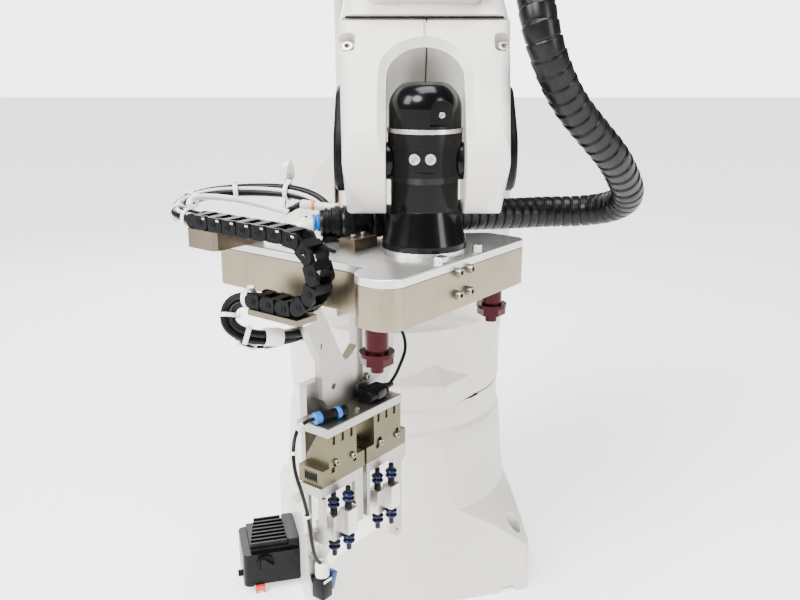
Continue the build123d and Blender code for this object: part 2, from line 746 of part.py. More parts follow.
rail_low = 325
leg_low = 272
with BuildPart() as cup_frame_left:
    with BuildSketch(tool.offset(rail_low)):
        with Locations((-61.5, grip_v + 14)):
            Rectangle(67, 28)
    extrude(amount=body_low - rail_low)
    # open side plate at the outer end
    with BuildSketch(tool_end(-95)):
        with Locations((70, (leg_low + rail_low) / 2)):
            Rectangle(25, rail_low - leg_low)
        with Locations((72, 307)):
            Rectangle(14, 46, mode=Mode.SUBTRACT)
    extrude(amount=5)
    with BuildSketch(tool_end(-33)):
        with Locations((70, (leg_low + rail_low) / 2)):
            Rectangle(20, rail_low - leg_low)
        with Locations((69, 305)):
            Rectangle(6, 30, mode=Mode.SUBTRACT)
    extrude(amount=5)
    # arm that holds the rear cup block
    with BuildSketch(tool_face(69.5)):
        with Locations((-77, 287)):
            Rectangle(28, 14)
    extrude(amount=-4)
save(cup_frame_left, "cup_frame_left")

with BuildPart() as cup_frame_right:
    with BuildSketch(tool.offset(rail_low)):
        with Locations((14.5, grip_v + 14)):
            Rectangle(71, 28)
    extrude(amount=body_low - rail_low)
    with BuildSketch(tool_end(-21)):
        with Locations((70, (leg_low + rail_low) / 2)):
            Rectangle(20, rail_low - leg_low)
    extrude(amount=5)
    # long leg at the right, its foot cut on the slant
    with BuildSketch(tool_face(grip_v)):
        with BuildLine():
            Polyline((26, rail_low), (50, rail_low), (50, 320), (41.5, 315), (41.5, 224), (34, 221), (26, 226),
                     (26, rail_low))
        make_face()
        with Locations((33, 230)):
            Circle(1.6, mode=Mode.SUBTRACT)
    extrude(amount=-6)
    with BuildSketch(tool_face(69.5)):
        with Locations((-3, 287)):
            Rectangle(28, 14)
    extrude(amount=-4)
save(cup_frame_right, "cup_frame_right")

# each station: place along and across the tool, underside of the block, block height, free length above
cup_stations = ((-73.3, 63, 270, 28, 26), (-64.5, 50, 278, 28, 25), (0.8, 63, 268, 28, 26), (9.5, 50, 275, 28, 25))
with BuildPart() as cup_blocks:
    for u, v, low, height, _ in cup_stations:
        with BuildSketch(tool.offset(low)):
            with Locations((u, v)):
                Rectangle(15, 13)
        extrude(amount=height)
save(cup_blocks, "cup_blocks")

with BuildPart() as cups_upper:
    for u, v, low, height, free in cup_stations:
        with BuildSketch(tool_face(v)):
            z = low + height
            with BuildLine():
                Polyline((u, z), (u + 3.6, z), (u + 3.6, z + 8), (u + 6.2, z + 11), (u + 3.4, z + 14),
                         (u + 6.2, z + 17.5), (u + 3.4, z + 20.5), (u + 3, z + free), (u, z + free), (u, z))
            make_face()
        revolve(axis=Axis(tool_point(u, v, 0), (0, 0, 1)))
save(cups_upper, "cups_upper")

with BuildPart() as cups_lower:
    for u, v, low, _, _ in cup_stations:
        with BuildSketch(tool_face(v)):
            with BuildLine():
                Polyline((u, low), (u + 3.6, low), (u + 3.6, low - 2), (u + 6.2, low - 6), (u + 3.6, low - 9),
                         (u + 6.2, low - 12.5), (u + 3.2, low - 16), (u + 2.8, low - 22), (u, low - 22), (u, low))
            make_face()
        revolve(axis=Axis(tool_point(u, v, 0), (0, 0, 1)))
    # small cup under the inner side plate
    with BuildSketch(tool_face(70)):
        with BuildLine():
            Polyline((-30.5, leg_low), (-28, leg_low), (-26.5, leg_low - 4), (-28.4, leg_low - 7), (-28.6, leg_low - 13),
                     (-30.5, leg_low - 13), (-30.5, leg_low))
        make_face()
    revolve(axis=Axis(tool_point(-30.5, 70, 0), (0, 0, 1)))
save(cups_lower, "cups_lower")

with BuildPart() as sensor_bracket:
    with BuildSketch(tool_face(70)):
        with BuildLine():
            Polyline((-107, 284), (-95, 284), (-95, 250), (-84, 235), (-84, 205), (-97, 205), (-107, 240),
                     (-107, 284))
        make_face()
        with Locations((-101, 276), (-101, 262)):
            Circle(1.7, mode=Mode.SUBTRACT)
    extrude(amount=-5)
save(sensor_bracket, "sensor_bracket")

with BuildPart() as sensor:
    with BuildSketch(tool_face(grip_v - 6)):
        with Locations((-92, 222)):
            Rectangle(22, 26)
    extrude(amount=-16)
    chamfer(sensor.edges().filter_by(Axis.Z), 2)
    # lens tube that looks down and to the right
    with BuildSketch(tool.offset(209)):
        with Locations((-90, grip_v + 2)):
            Circle(6)
    extrude(amount=-3)
save(sensor, "sensor")

# Connectors on the gripper bar, and the hose's clamps and end fitting

plug_r = 6.5
plug_start = tool_point(-82, 80, bar_low + 10 + plug_r)
plug_dir = tool_point(-50.7, 70.6, 0) - tool_point(-82, 80, 0)
with BuildPart() as connector_left:
    plug_axis = Plane(origin=plug_start, x_dir=(0, 0, 1), z_dir=plug_dir)
    for start, length, radius in ((0, 4, 5.4), (4, 5, plug_r), (9, 18, 5.6), (27, 6, plug_r), (33, 7, 5.8)):
        with BuildSketch(plug_axis.offset(start)):
            Circle(radius)
        extrude(amount=length)
save(connector_left, "connector_left")

with BuildPart() as connector_right:
    with BuildSketch(tool_end(-6)):
        with Locations((76, bar_low + 17.5)):
            SlotOverall(24, 15)
    extrude(amount=32)
    fillet(connector_right.faces().filter_by(lambda f: abs(f.normal_at().dot(tool.x_dir)) > 0.99).edges(), 2.5)
save(connector_right, "connector_right")

hose_d = 34.5
hose_x, hose_n = 91.6, 88               # the hose runs beside the forearm here, right of it and above it
clamp_s = 268
hose_top = fore.from_local_coords(Vector(hose_x, -hose_n, clamp_s))
with BuildPart() as hose_clamp:
    # strut from the barrel towards the hose
    reach = (hose_x ** 2 + hose_n ** 2) ** 0.5
    strut = Plane(origin=fore.from_local_coords(Vector(0, 0, clamp_s - 28)),
                  x_dir=(fore.x_dir * hose_x - fore.y_dir * hose_n), z_dir=fore.z_dir)
    with BuildSketch(strut):
        with Locations((70 + (reach - 70) / 2, 0)):
            Rectangle(reach - 70, 26)
    extrude(amount=20)
    with BuildSketch(fore.offset(clamp_s - 22)):
        with Locations((hose_x, -hose_n)):
            Circle(hose_d / 2 + 5)
    extrude(amount=38)
    with BuildSketch(fore.offset(clamp_s - 40)):
        with Locations((hose_x, -hose_n)):
            Circle(hose_d / 2 + 0.3)
        Circle(barrel_r)
    extrude(amount=40, mode=Mode.SUBTRACT)
    chamfer(hose_clamp.faces().sort_by(lambda f: (f.center() - hose_top).dot(fore.z_dir))[-1].edges(), 2)
save(hose_clamp, "hose_clamp")

hose_end_at = Vector(-60.6, -344, 599)
hose_end_dir = Vector(-59.6, -9.8, 0)
with BuildPart() as hose_end:
    for start, length, radius in ((0, 6, 15.5), (6, 4, 14), (10, 18, 15)):
        with BuildSketch(Plane(origin=hose_end_at, x_dir=(0, 0, 1), z_dir=hose_end_dir).offset(start)):
            Circle(radius)
        extrude(amount=length)
    # saddle that holds it on the lid
    with BuildSketch(Plane(origin=(hose_end_at.X, hose_end_at.Y, plate_top), x_dir=hose_end_dir, z_dir=(0, 0, 1))):
        with Locations((19, 0)):
            Rectangle(14, 26)
    extrude(amount=12)
save(hose_end, "hose_end")

# Corrugated hose: from the forearm out to the right, round behind the wrist and onto the tool

hose_join = Vector(245.5, -333.5, 638)
join_run = Vector(17.5, 29.5, -26)
hose_upper_points = [
    tuple(hose_top), tuple(fore.from_local_coords(Vector(hose_x, -hose_n, clamp_s - 32))), (127.5, -363, 872),
    (129, -407, 836), (132, -434, 796), (145, -430, 760), (167.5, -410, 724), (199.5, -386.5, 692),
    tuple(hose_join - join_run), tuple(hose_join),
]
hose_lower_points = [
    tuple(hose_join), tuple(hose_join + join_run * 0.55), (248, -287, 606), (218, -267.5, 597), (174, -265, 596),
    (128.5, -278.5, 596), (86, -294, 598.5), (45.5, -315.5, 598.5), tuple(hose_end_at - hose_end_dir),
    tuple(hose_end_at),
]
tube("hose_upper", hose_upper_points, hose_d)
tube("hose_lower", hose_lower_points, hose_d)

# Cable bundles and cables on the tool, given along, across and up from the tool's frame

bundle_d = 14
upper_route = [(16, 134, 580), (16, 134, 598), (14, 148, 614), (9, 176, 621), (-3, 208, 622), (-26, 240, 621),
               (-58, 260, 619), (-92, 258, 613), (-114, 238, 608), (-117.5, 216, 607), (-117.5, 194.2, 607)]
lower_route = [(-117.5, 110.2, 537), (-117.5, 131, 537), (-126, 150, 528), (-134, 146, 508), (-124, 128, 497),
               (-104, 114, 494), (-84, 109, 490), (-66, 109, 490)]
sensor_route = [(-82, 80, 405.5), (-96, 84.2, 405.5), (-113, 80, 394), (-123, 71, 368), (-118, 64, 338),
                (-113, 62, 310), (-111, 61, 284), (-106, 61, 260), (-95, 62, 248), (-95, 62, 235)]
plug_route = [(26, 76, 406.5), (38, 76, 406.5), (53, 78, 412), (67, 80, 424), (82, 84, 436), (86, 90, 452),
              (79, 95, 466), (65, 95, 466)]
for name, route, d in (("cable_bundle_upper", upper_route, bundle_d), ("cable_bundle_lower", lower_route, bundle_d),
                       ("sensor_cable", sensor_route, 4), ("plug_cable", plug_route, 4)):
    tube(name, [tuple(tool_point(*p)) for p in route], d)
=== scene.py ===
import math

import bmesh
import bpy
from mathutils import Matrix, Vector


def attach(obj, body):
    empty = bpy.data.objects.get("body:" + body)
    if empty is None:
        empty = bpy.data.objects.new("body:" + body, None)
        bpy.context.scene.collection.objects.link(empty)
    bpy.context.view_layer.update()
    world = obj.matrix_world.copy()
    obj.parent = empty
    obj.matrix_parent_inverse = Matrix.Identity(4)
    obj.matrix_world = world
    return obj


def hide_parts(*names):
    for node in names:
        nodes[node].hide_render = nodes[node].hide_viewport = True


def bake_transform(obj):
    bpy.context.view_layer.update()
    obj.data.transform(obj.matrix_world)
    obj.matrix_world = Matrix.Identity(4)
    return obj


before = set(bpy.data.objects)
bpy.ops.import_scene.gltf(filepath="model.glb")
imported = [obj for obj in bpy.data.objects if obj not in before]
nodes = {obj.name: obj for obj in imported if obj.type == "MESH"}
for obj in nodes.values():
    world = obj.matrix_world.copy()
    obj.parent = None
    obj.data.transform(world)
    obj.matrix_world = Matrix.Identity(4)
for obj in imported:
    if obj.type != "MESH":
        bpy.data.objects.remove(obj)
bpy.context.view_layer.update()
print("frame:", len(nodes), "nodes")

# camera at the photo's viewing angle

camera = {
    "place": (0.008, -1.2484, 0.773),
    "pitchDown": 16.0,       # degrees
    "lens": 39.2,
    "sensor": 36.0,
}
cameraData = bpy.data.cameras.new("photoCamera")
cameraData.lens = camera["lens"]
cameraData.sensor_width = camera["sensor"]
cameraObject = bpy.data.objects.new("photoCamera", cameraData)
cameraObject.location = camera["place"]
cameraObject.rotation_euler = (math.radians(90 - camera["pitchDown"]), 0, 0)
bpy.context.scene.collection.objects.link(cameraObject)
bpy.context.scene.camera = cameraObject

# places: the tool's plan is turned under the wrist, the forearm leans forward

tilt = {"tool": math.radians(52.6), "forearm": math.radians(50)}
bendAxis = Vector((0.032, -0.398, 0.670))
alongTool = Vector((math.cos(tilt["tool"]), math.sin(tilt["tool"]), 0))
acrossTool = Vector((-math.sin(tilt["tool"]), math.cos(tilt["tool"]), 0))
upward = Vector((0, 0, 1))
foreUp = Vector((0, -math.sin(tilt["forearm"]), math.cos(tilt["forearm"])))
foreBack = Vector((0, math.cos(tilt["forearm"]), math.sin(tilt["forearm"])))


def onTool(along, across, up):
    return Vector((bendAxis.x, bendAxis.y, up)) + alongTool * along + acrossTool * across


def onForearm(right, above, back):
    return bendAxis + Vector((right, 0, 0)) + foreUp * above + foreBack * back


def placeAt(point, along, across=(0, 0, 1)):
    # matrix whose Z runs along the given direction
    z = Vector(along).normalized()
    x = Vector(across) - z * z.dot(Vector(across))
    x = z.orthogonal().normalized() if x.length < 1e-6 else x.normalized()
    place = Matrix((x, z.cross(x), z)).transposed().to_4x4()
    place.translation = Vector(point)
    return place


class Wire:
    # a socket that takes part in Python expressions; each operator adds its Math node

    def __init__(self, tree, socket):
        self.tree, self.socket = tree, socket

    def maths(self, operation, other=None, flipped=False):
        node = self.tree.nodes.new("ShaderNodeMath")
        node.operation = operation
        pair = (other, self) if flipped else (self, other)
        for slot, value in zip(node.inputs, pair):
            if isinstance(value, Wire):
                self.tree.links.new(value.socket, slot)
            elif value is not None:
                slot.default_value = value
        return Wire(self.tree, node.outputs[0])

    def __add__(self, other): return self.maths("ADD", other)
    def __radd__(self, other): return self.maths("ADD", other, True)
    def __sub__(self, other): return self.maths("SUBTRACT", other)
    def __rsub__(self, other): return self.maths("SUBTRACT", other, True)
    def __mul__(self, other): return self.maths("MULTIPLY", other)
    def __rmul__(self, other): return self.maths("MULTIPLY", other, True)
    def __truediv__(self, other): return self.maths("DIVIDE", other)
    def __pow__(self, other): return self.maths("POWER", other)

    def clip(self, low, high):
        return self.maths("MAXIMUM", low).maths("MINIMUM", high)

    def wave(self): return self.maths("SINE")
    def crossWave(self): return self.maths("COSINE")
    def fraction(self): return self.maths("FRACT")
    def magnitude(self): return self.maths("ABSOLUTE")


class NodeBench:
    # adds nodes to one tree, for materials and for Geometry Nodes alike

    def add(self, kind, settings=None, sockets=None):
        node = self.tree.nodes.new(kind)
        for key, value in (settings or {}).items():
            setattr(node, key, value)
        for key, value in (sockets or {}).items():
            self.plug(node.inputs[key], value)
        return node

    def plug(self, socket, value):
        if isinstance(value, Wire):
            self.tree.links.new(value.socket, socket)
        elif isinstance(value, bpy.types.Node):
            self.tree.links.new(value.outputs[0], socket)
        else:
            socket.default_value = value

    def wire(self, node, name=0):
        return Wire(self.tree, node.outputs[name])

    def vector(self, operation, first, second=None, scale=None):
        node = self.add("ShaderNodeVectorMath", {"operation": operation})
        self.plug(node.inputs[0], first)
        if second is not None:
            self.plug(node.inputs[1], second)
        if scale is not None:
            self.plug(node.inputs["Scale"], scale)
        return self.wire(node)


class Finish(NodeBench):
    # one material: a principled surface and the nodes that feed it

    def __init__(self, name):
        self.material = bpy.data.materials.new(name)
        self.material.use_nodes = True
        self.tree = self.material.node_tree
        self.surface = self.tree.nodes["Principled BSDF"]

    def place(self, stretch=(1, 1, 1), turn=(0, 0, 0)):
        coordinates = self.add("ShaderNodeTexCoord")
        mapping = self.add("ShaderNodeMapping", {}, {
            "Vector": self.wire(coordinates, "Object"), "Scale": stretch, "Rotation": turn,
        })
        return self.wire(mapping)

    def noise(self, scale, detail=2.0, roughness=0.5, place=None):
        node = self.add("ShaderNodeTexNoise", {}, {
            "Vector": place or self.place(), "Scale": scale, "Detail": detail, "Roughness": roughness,
        })
        return self.wire(node, 0)

    def blend(self, share, first, second):
        node = self.add("ShaderNodeMix", {"data_type": "RGBA"})
        self.plug(node.inputs[0], share)
        for socket, colour in ((node.inputs[6], first), (node.inputs[7], second)):
            self.plug(socket, colour if isinstance(colour, Wire) else (*colour, 1))
        return Wire(self.tree, node.outputs[2])

    def bump(self, height, strength, distance, after=None):
        sockets = {"Height": height, "Strength": strength, "Distance": distance}
        if after:
            sockets["Normal"] = after
        return self.wire(self.add("ShaderNodeBump", {}, sockets))

    def shadeMask(self, reach):
        # mask for painted shade: one in the open, less in inside corners, where shade and dirt gather
        return self.wire(self.add("ShaderNodeAmbientOcclusion", {"samples": 6}, {"Distance": reach}), "AO")

    def softEdge(self, radius):
        # rounds sharp edges in the shading
        return self.wire(self.add("ShaderNodeBevel", {"samples": 6}, {"Radius": radius}))

    def set(self, **values):
        for key, value in values.items():
            self.plug(self.surface.inputs[key.replace("_", " ")], value)
        return self.material


class Growth(NodeBench):
    # a Geometry Nodes tree with named sizes; harvest gives its result as a plain mesh

    def __init__(self, name, sizes):
        self.sizes = sizes
        self.tree = bpy.data.node_groups.new(name, "GeometryNodeTree")
        face = self.tree.interface
        face.new_socket(name="Geometry", in_out="INPUT", socket_type="NodeSocketGeometry")
        self.keys = {}
        for key, value in sizes.items():
            kind = "NodeSocketInt" if isinstance(value, int) else "NodeSocketFloat"
            self.keys[key] = face.new_socket(name=key, in_out="INPUT", socket_type=kind).identifier
        face.new_socket(name="Geometry", in_out="OUTPUT", socket_type="NodeSocketGeometry")
        self.entry = self.tree.nodes.new("NodeGroupInput")
        self.exit = self.tree.nodes.new("NodeGroupOutput")

    def size(self, key):
        return self.wire(self.entry, key)

    def named(self, name):
        node = self.add("GeometryNodeInputNamedAttribute", {"data_type": "FLOAT_VECTOR"}, {"Name": name})
        return self.wire(node)

    def harvest(self, holder, geometry, material):
        smooth = self.add("GeometryNodeSetShadeSmooth", {}, {"Geometry": geometry, "Shade Smooth": True})
        solid = self.add("GeometryNodeRealizeInstances", {}, {"Geometry": smooth})
        painted = self.add("GeometryNodeSetMaterial", {}, {"Geometry": solid, "Material": material})
        self.plug(self.exit.inputs["Geometry"], painted)
        modifier = holder.modifiers.new("growth", "NODES")
        modifier.node_group = self.tree
        for key, value in self.sizes.items():
            modifier[self.keys[key]] = value
        graph = bpy.context.evaluated_depsgraph_get()
        mesh = bpy.data.meshes.new_from_object(holder.evaluated_get(graph), depsgraph=graph)
        holder.modifiers.remove(modifier)
        bpy.data.objects.remove(holder)
        return mesh


def link(name, mesh):
    made = bpy.data.objects.new(name, mesh)
    bpy.context.scene.collection.objects.link(made)
    return made


def settle(piece, body, stands=()):
    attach(piece, body)
    if stands:
        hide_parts(*stands)
    return piece


class Workpiece:
    # one piece built up from turned shapes and bevelled blocks, in several finishes

    def __init__(self, name, *finishes):
        self.name, self.finishes, self.bm = name, finishes, bmesh.new()

    def turned(self, profile, place, finish=0, segments=28):
        # profile: radius and height from one end to the other; a profile that closes on itself makes a ring
        closed = profile[0] == profile[-1]
        rings = []
        for radius, height in profile[:-1] if closed else profile:
            turns = [0] if radius == 0 else [math.tau * i / segments for i in range(segments)]
            rings.append([
                self.bm.verts.new(place @ Vector((radius * math.cos(a), radius * math.sin(a), height)))
                for a in turns
            ])
        if closed:
            rings.append(rings[0])
        for low, high in zip(rings, rings[1:]):
            for i in range(segments):
                j = (i + 1) % segments
                corners = [low[i % len(low)], low[j % len(low)], high[j % len(high)], high[i % len(high)]]
                self.bm.faces.new(list(dict.fromkeys(corners))).material_index = finish

    def block(self, size, place, finish=0, edge=0.0004):
        before = set(self.bm.faces)
        made = bmesh.ops.create_cube(self.bm, size=1, matrix=place @ Matrix.Diagonal((*size, 1)))
        edges = {e for v in made["verts"] for e in v.link_edges}
        bmesh.ops.bevel(self.bm, geom=list(edges), offset=edge, segments=2, affect="EDGES", profile=0.5)
        for face in set(self.bm.faces) - before:
            face.material_index = finish

    def take(self, mesh, finish=0):
        first = len(self.bm.faces)
        self.bm.from_mesh(mesh)
        self.bm.faces.ensure_lookup_table()
        for face in self.bm.faces[first:]:
            face.material_index = finish

    def mesh(self, sharp=35):
        bmesh.ops.recalc_face_normals(self.bm, faces=self.bm.faces)
        mesh = bpy.data.meshes.new(self.name)
        self.bm.to_mesh(mesh)
        self.bm.free()
        for finish in self.finishes:
            mesh.materials.append(finish)
        mesh.shade_smooth()
        mesh.set_sharp_from_angle(angle=math.radians(sharp))
        return mesh

    def done(self, body, slot=None, stands=(), sharp=35):
        return settle(link(self.name, self.mesh(sharp)), body, stands)


# materials

grain = {
    # fineness of each pattern, per metre
    "paintPeel": 620, "paintCloud": 9, "paintHandled": 46, "paintSpeck": 240,
    "glossSmudge": 34, "glossFine": 700, "glossWave": 26,
    "plasticCloud": 60, "plasticScuff": 210, "metalCloud": 22, "metalNick": 420,
    "anodisedMatt": 1300, "anodisedCloud": 40, "rubberCloud": 90, "rubberDust": 35, "rubberFine": 800,
    # reach of the painted shade in corners and radius of the softened edges, in metres
    "paintCorner": 0.012, "metalCorner": 0.006,
    "paintEdge": 0.0016, "glossEdge": 0.0010, "metalEdge": 0.0006, "anodisedEdge": 0.0005, "plasticEdge": 0.0004,
}
# the brownish tone that darkens the paint's inside corners is painted shade with some dirt
tones = {"speck": (0.36, 0.33, 0.28), "dustAndShade": (0.42, 0.39, 0.34), "rubberDust": (0.07, 0.073, 0.078)}


def scaled(colour, share):
    return tuple(share * c for c in colour)


def castPaint(name, low, high, gloss):
    f = Finish(name)
    peel = f.noise(grain["paintPeel"], 2, 0.5)
    cloud = f.noise(grain["paintCloud"], 3, 0.55)
    handled = f.noise(grain["paintHandled"], 4, 0.6)
    speck = ((f.noise(grain["paintSpeck"], 2, 0.55) - 0.74) * 14).clip(0, 0.5)
    paintedShade = f.shadeMask(grain["paintCorner"])
    body = f.blend(cloud, low, high)
    worn = f.blend(((handled - 0.60) * 4).clip(0, 0.30), body, scaled(low, 0.84))
    spotted = f.blend(speck, worn, tones["speck"])
    # painted shade: inside corners darkened towards a brownish tone, as shade and dirt
    dustyAndShaded = f.blend((1 - paintedShade).clip(0, 1) * 0.35, spotted, tones["dustAndShade"])
    bump = f.bump(peel, 0.10, 0.0004, f.bump(cloud, 0.10, 0.003, f.softEdge(grain["paintEdge"])))
    return f.set(Base_Color=dustyAndShaded, Roughness=gloss + handled * 0.14, Normal=bump,
                 Coat_Weight=0.15, Coat_Roughness=0.25, Specular_IOR_Level=0.5)


def glossBlack(name):
    f = Finish(name)
    smudge = f.noise(grain["glossSmudge"], 4, 0.62)
    fine = f.noise(grain["glossFine"], 2, 0.5)
    tint = f.blend(smudge, (0.0008, 0.0009, 0.0011), (0.0022, 0.0024, 0.0028))
    wave = f.bump(f.noise(grain["glossWave"], 2), 0.08, 0.002, f.softEdge(grain["glossEdge"]))
    return f.set(Base_Color=tint, Roughness=0.15 + smudge * 0.13, Normal=f.bump(fine, 0.05, 0.0003, wave),
                 Specular_IOR_Level=0.14, Coat_Weight=0.12, Coat_Roughness=0.05)


def mouldedPlastic(name, low, high, gloss=0.42, pebbles=900, shine=0.5):
    f = Finish(name)
    cloud = f.noise(grain["plasticCloud"], 3, 0.6)
    pebble = f.noise(pebbles, 2, 0.5)
    scuff = ((f.noise(grain["plasticScuff"], 3, 0.7) - 0.60) * 6).clip(0, 0.4)
    tint = f.blend(scuff, f.blend(cloud, low, high), tuple(min(1.0, 1.8 * c + 0.004) for c in high))
    return f.set(Base_Color=tint, Roughness=gloss + cloud * 0.14, Specular_IOR_Level=shine,
                 Normal=f.bump(pebble, 0.16, 0.0003, f.softEdge(grain["plasticEdge"])))


def machined(name, low, high, gloss, turn=(0, 0, 0), streak=(12, 900, 12)):
    # milled or drawn metal with fine streaks along one direction
    f = Finish(name)
    lines = f.noise(1.0, 2, 0.7, f.place(streak, turn))
    cloud = f.noise(grain["metalCloud"], 3, 0.6)
    nick = ((f.noise(grain["metalNick"], 2, 0.6) - 0.70) * 9).clip(0, 0.5)
    tint = f.blend(cloud * 0.6 + lines * 0.4, low, high)
    # painted shade: inside corners darkened to a deeper tone of the metal
    paintedShade = (1 - f.shadeMask(grain["metalCorner"])).clip(0, 1) * 0.5
    tint = f.blend(paintedShade, f.blend(nick, tint, high), scaled(low, 0.45))
    return f.set(Base_Color=tint, Metallic=1.0, Roughness=gloss + lines * 0.16 + cloud * 0.06,
                 Normal=f.bump(lines, 0.10, 0.0003, f.softEdge(grain["metalEdge"])))


def anodised(name, low, high, gloss=0.30):
    f = Finish(name)
    matt = f.noise(grain["anodisedMatt"], 1, 0.5)
    cloud = f.noise(grain["anodisedCloud"], 3, 0.6)
    return f.set(Base_Color=f.blend(cloud, low, high), Metallic=0.85, Roughness=gloss + cloud * 0.12,
                 Normal=f.bump(matt, 0.12, 0.0002, f.softEdge(grain["anodisedEdge"])))


def softRubber(name, low, high, gloss=0.36, dustyAndShaded=0.12, shine=0.5):
    f = Finish(name)
    cloud = f.noise(grain["rubberCloud"], 3, 0.6)
    dustAndShade = ((f.noise(grain["rubberDust"], 4, 0.65) - 0.5) * 1.6).clip(0, dustyAndShaded)
    tint = f.blend(dustAndShade, f.blend(cloud, low, high), tones["rubberDust"])
    return f.set(Base_Color=tint, Roughness=gloss + cloud * 0.16, Specular_IOR_Level=shine,
                 Normal=f.bump(f.noise(grain["rubberFine"], 2), 0.12, 0.0003))


paint = castPaint("castPaint", (0.58, 0.555, 0.50), (0.68, 0.66, 0.612), 0.26)
wristBlack = glossBlack("wristBlack")
chainBlack = mouldedPlastic("chainBlack", (0.0012, 0.0014, 0.0016), (0.0040, 0.0044, 0.0050), 0.34, 900, 0.11)
unitBlack = mouldedPlastic("unitBlack", (0.0011, 0.0012, 0.0014), (0.0036, 0.0038, 0.0042), 0.26, 500, 0.16)
alloy = machined("milledAlloy", (0.19, 0.150, 0.098), (0.40, 0.345, 0.25), 0.20)
lidAlloy = machined("lidAlloy", (0.66, 0.655, 0.65), (0.84, 0.835, 0.83), 0.26, (0, 0, 0.92))
alloyGrey = machined("plateAlloy", (0.29, 0.28, 0.255), (0.46, 0.445, 0.41), 0.26, (0, 0, 0.8))
blockAlloy = machined("blockAlloy", (0.52, 0.50, 0.46), (0.70, 0.68, 0.64), 0.30, (0, 0, 0.8), (500, 500, 20))
steel = machined("screwSteel", (0.50, 0.48, 0.45), (0.80, 0.78, 0.75), 0.16)
alloyDark = machined("bracketAlloy", (0.12, 0.095, 0.065), (0.25, 0.21, 0.155), 0.22)
dullSteel = machined("dullSteel", (0.20, 0.19, 0.16), (0.36, 0.34, 0.29), 0.24)
maroon = anodised("postMaroon", (0.022, 0.0035, 0.005), (0.046, 0.0080, 0.011), 0.18)
olive = anodised("bodyOlive", (0.085, 0.074, 0.042), (0.150, 0.134, 0.080), 0.26)
cupBlue = softRubber("cupBlue", (0.0010, 0.0022, 0.017), (0.0024, 0.0050, 0.038), 0.18, 0.02, 0.30)
hoseRubber = softRubber("hoseRubber", (0.0008, 0.0010, 0.0012), (0.0026, 0.0029, 0.0034), 0.24, 0.03, 0.20)
cableBlack = softRubber("cableBlack", (0.0009, 0.0009, 0.0011), (0.0030, 0.0030, 0.0035), 0.25, 0.03, 0.18)
cableGrey = softRubber("cableGrey", (0.10, 0.105, 0.12), (0.17, 0.18, 0.20), 0.30)
cableWhite = mouldedPlastic("cableWhite", (0.62, 0.61, 0.585), (0.74, 0.73, 0.71), 0.34)
tieWhite = mouldedPlastic("tieWhite", (0.72, 0.71, 0.68), (0.84, 0.83, 0.80), 0.30)
ringOrange = mouldedPlastic("ringOrange", (0.80, 0.13, 0.03), (0.92, 0.20, 0.06), 0.30)
plugBlue = mouldedPlastic("plugBlue", (0.004, 0.095, 0.34), (0.008, 0.150, 0.46), 0.28, 900, 0.30)
labelBlue = mouldedPlastic("labelBlue", (0.004, 0.038, 0.14), (0.008, 0.060, 0.20), 0.34, 900, 0.30)
latchRed = mouldedPlastic("latchRed", (0.50, 0.020, 0.015), (0.66, 0.045, 0.03), 0.28)
fittingTan = mouldedPlastic("fittingTan", (0.48, 0.42, 0.33), (0.58, 0.52, 0.43), 0.45)
# seamDark is painted shade in the forearm's split line and the turret seam's gap; it also colours the socket's back
# and the hose elbow's port
seamDark = mouldedPlastic("seamDark", (0.004, 0.004, 0.004), (0.010, 0.009, 0.008), 0.6, 900, 0.10)
print("materials:", len(bpy.data.materials))

# finishes of the CAD nodes that are shown as they are

wearing = {
    paint: ("base_casting", "base_panel", "turret_casting", "shoulder_cover_left", "shoulder_cover_right",
            "upper_arm", "elbow_housing", "elbow_motor_cover", "forearm_housing", "forearm_cover", "wrist_fork"),
    unitBlack: ("finned_unit", "unit_knob"),
    latchRed: ("unit_latch",),
    wristBlack: ("wrist_dome", "wrist_body", "wrist_skirt"),
    steel: ("wrist_ring", "tool_flange", "flange_locator"),
    alloy: ("tool_box",),
    alloyDark: ("clamp_block", "chain_bracket_fixed", "chain_bracket_moving"),
    lidAlloy: ("tool_lid",),
    alloyGrey: ("carrier_bracket", "carrier_plate", "gripper_bar", "cup_frame_left", "cup_frame_right",
                "sensor_bracket"),
    blockAlloy: ("cup_blocks",),
    maroon: ("post_near", "post_far"),
    olive: ("gripper_body_left", "gripper_body_right"),
    chainBlack: ("energy_chain", "connector_right", "hose_clamp", "fork_cover_left", "fork_cover_right"),
}
for finish, names in wearing.items():
    for name in names:
        if name in nodes:
            nodes[name].data.materials.clear()
            nodes[name].data.materials.append(finish)


# cords: each follows the NURBS spline of its route

def splineLine(name, points):
    curve = bpy.data.curves.new(name, "CURVE")
    curve.dimensions = "3D"
    curve.resolution_u = 18
    spline = curve.splines.new("NURBS")
    spline.points.add(len(points) - 1)
    for point, place in zip(spline.points, points):
        point.co = (*place, 1)
    spline.order_u = 3
    spline.use_endpoint_u = True
    route = link(name, curve)
    line = [v.co.copy() for v in bpy.data.meshes.new_from_object(route).vertices]
    bpy.data.objects.remove(route)
    return line


def lineLength(line):
    return sum((b - a).length for a, b in zip(line, line[1:]))


def pointOn(line, distance):
    # place and direction at a distance along a line
    for a, b in zip(line, line[1:]):
        step = (b - a).length
        if distance <= step and step > 0:
            return a + (b - a) * (distance / step), (b - a).normalized()
        distance -= step
    return line[-1], (line[-1] - line[-2]).normalized()


def lineHolder(name, line):
    mesh = bpy.data.meshes.new(name)
    mesh.from_pydata(line, [(i, i + 1) for i in range(len(line) - 1)], [])
    return link(name, mesh)


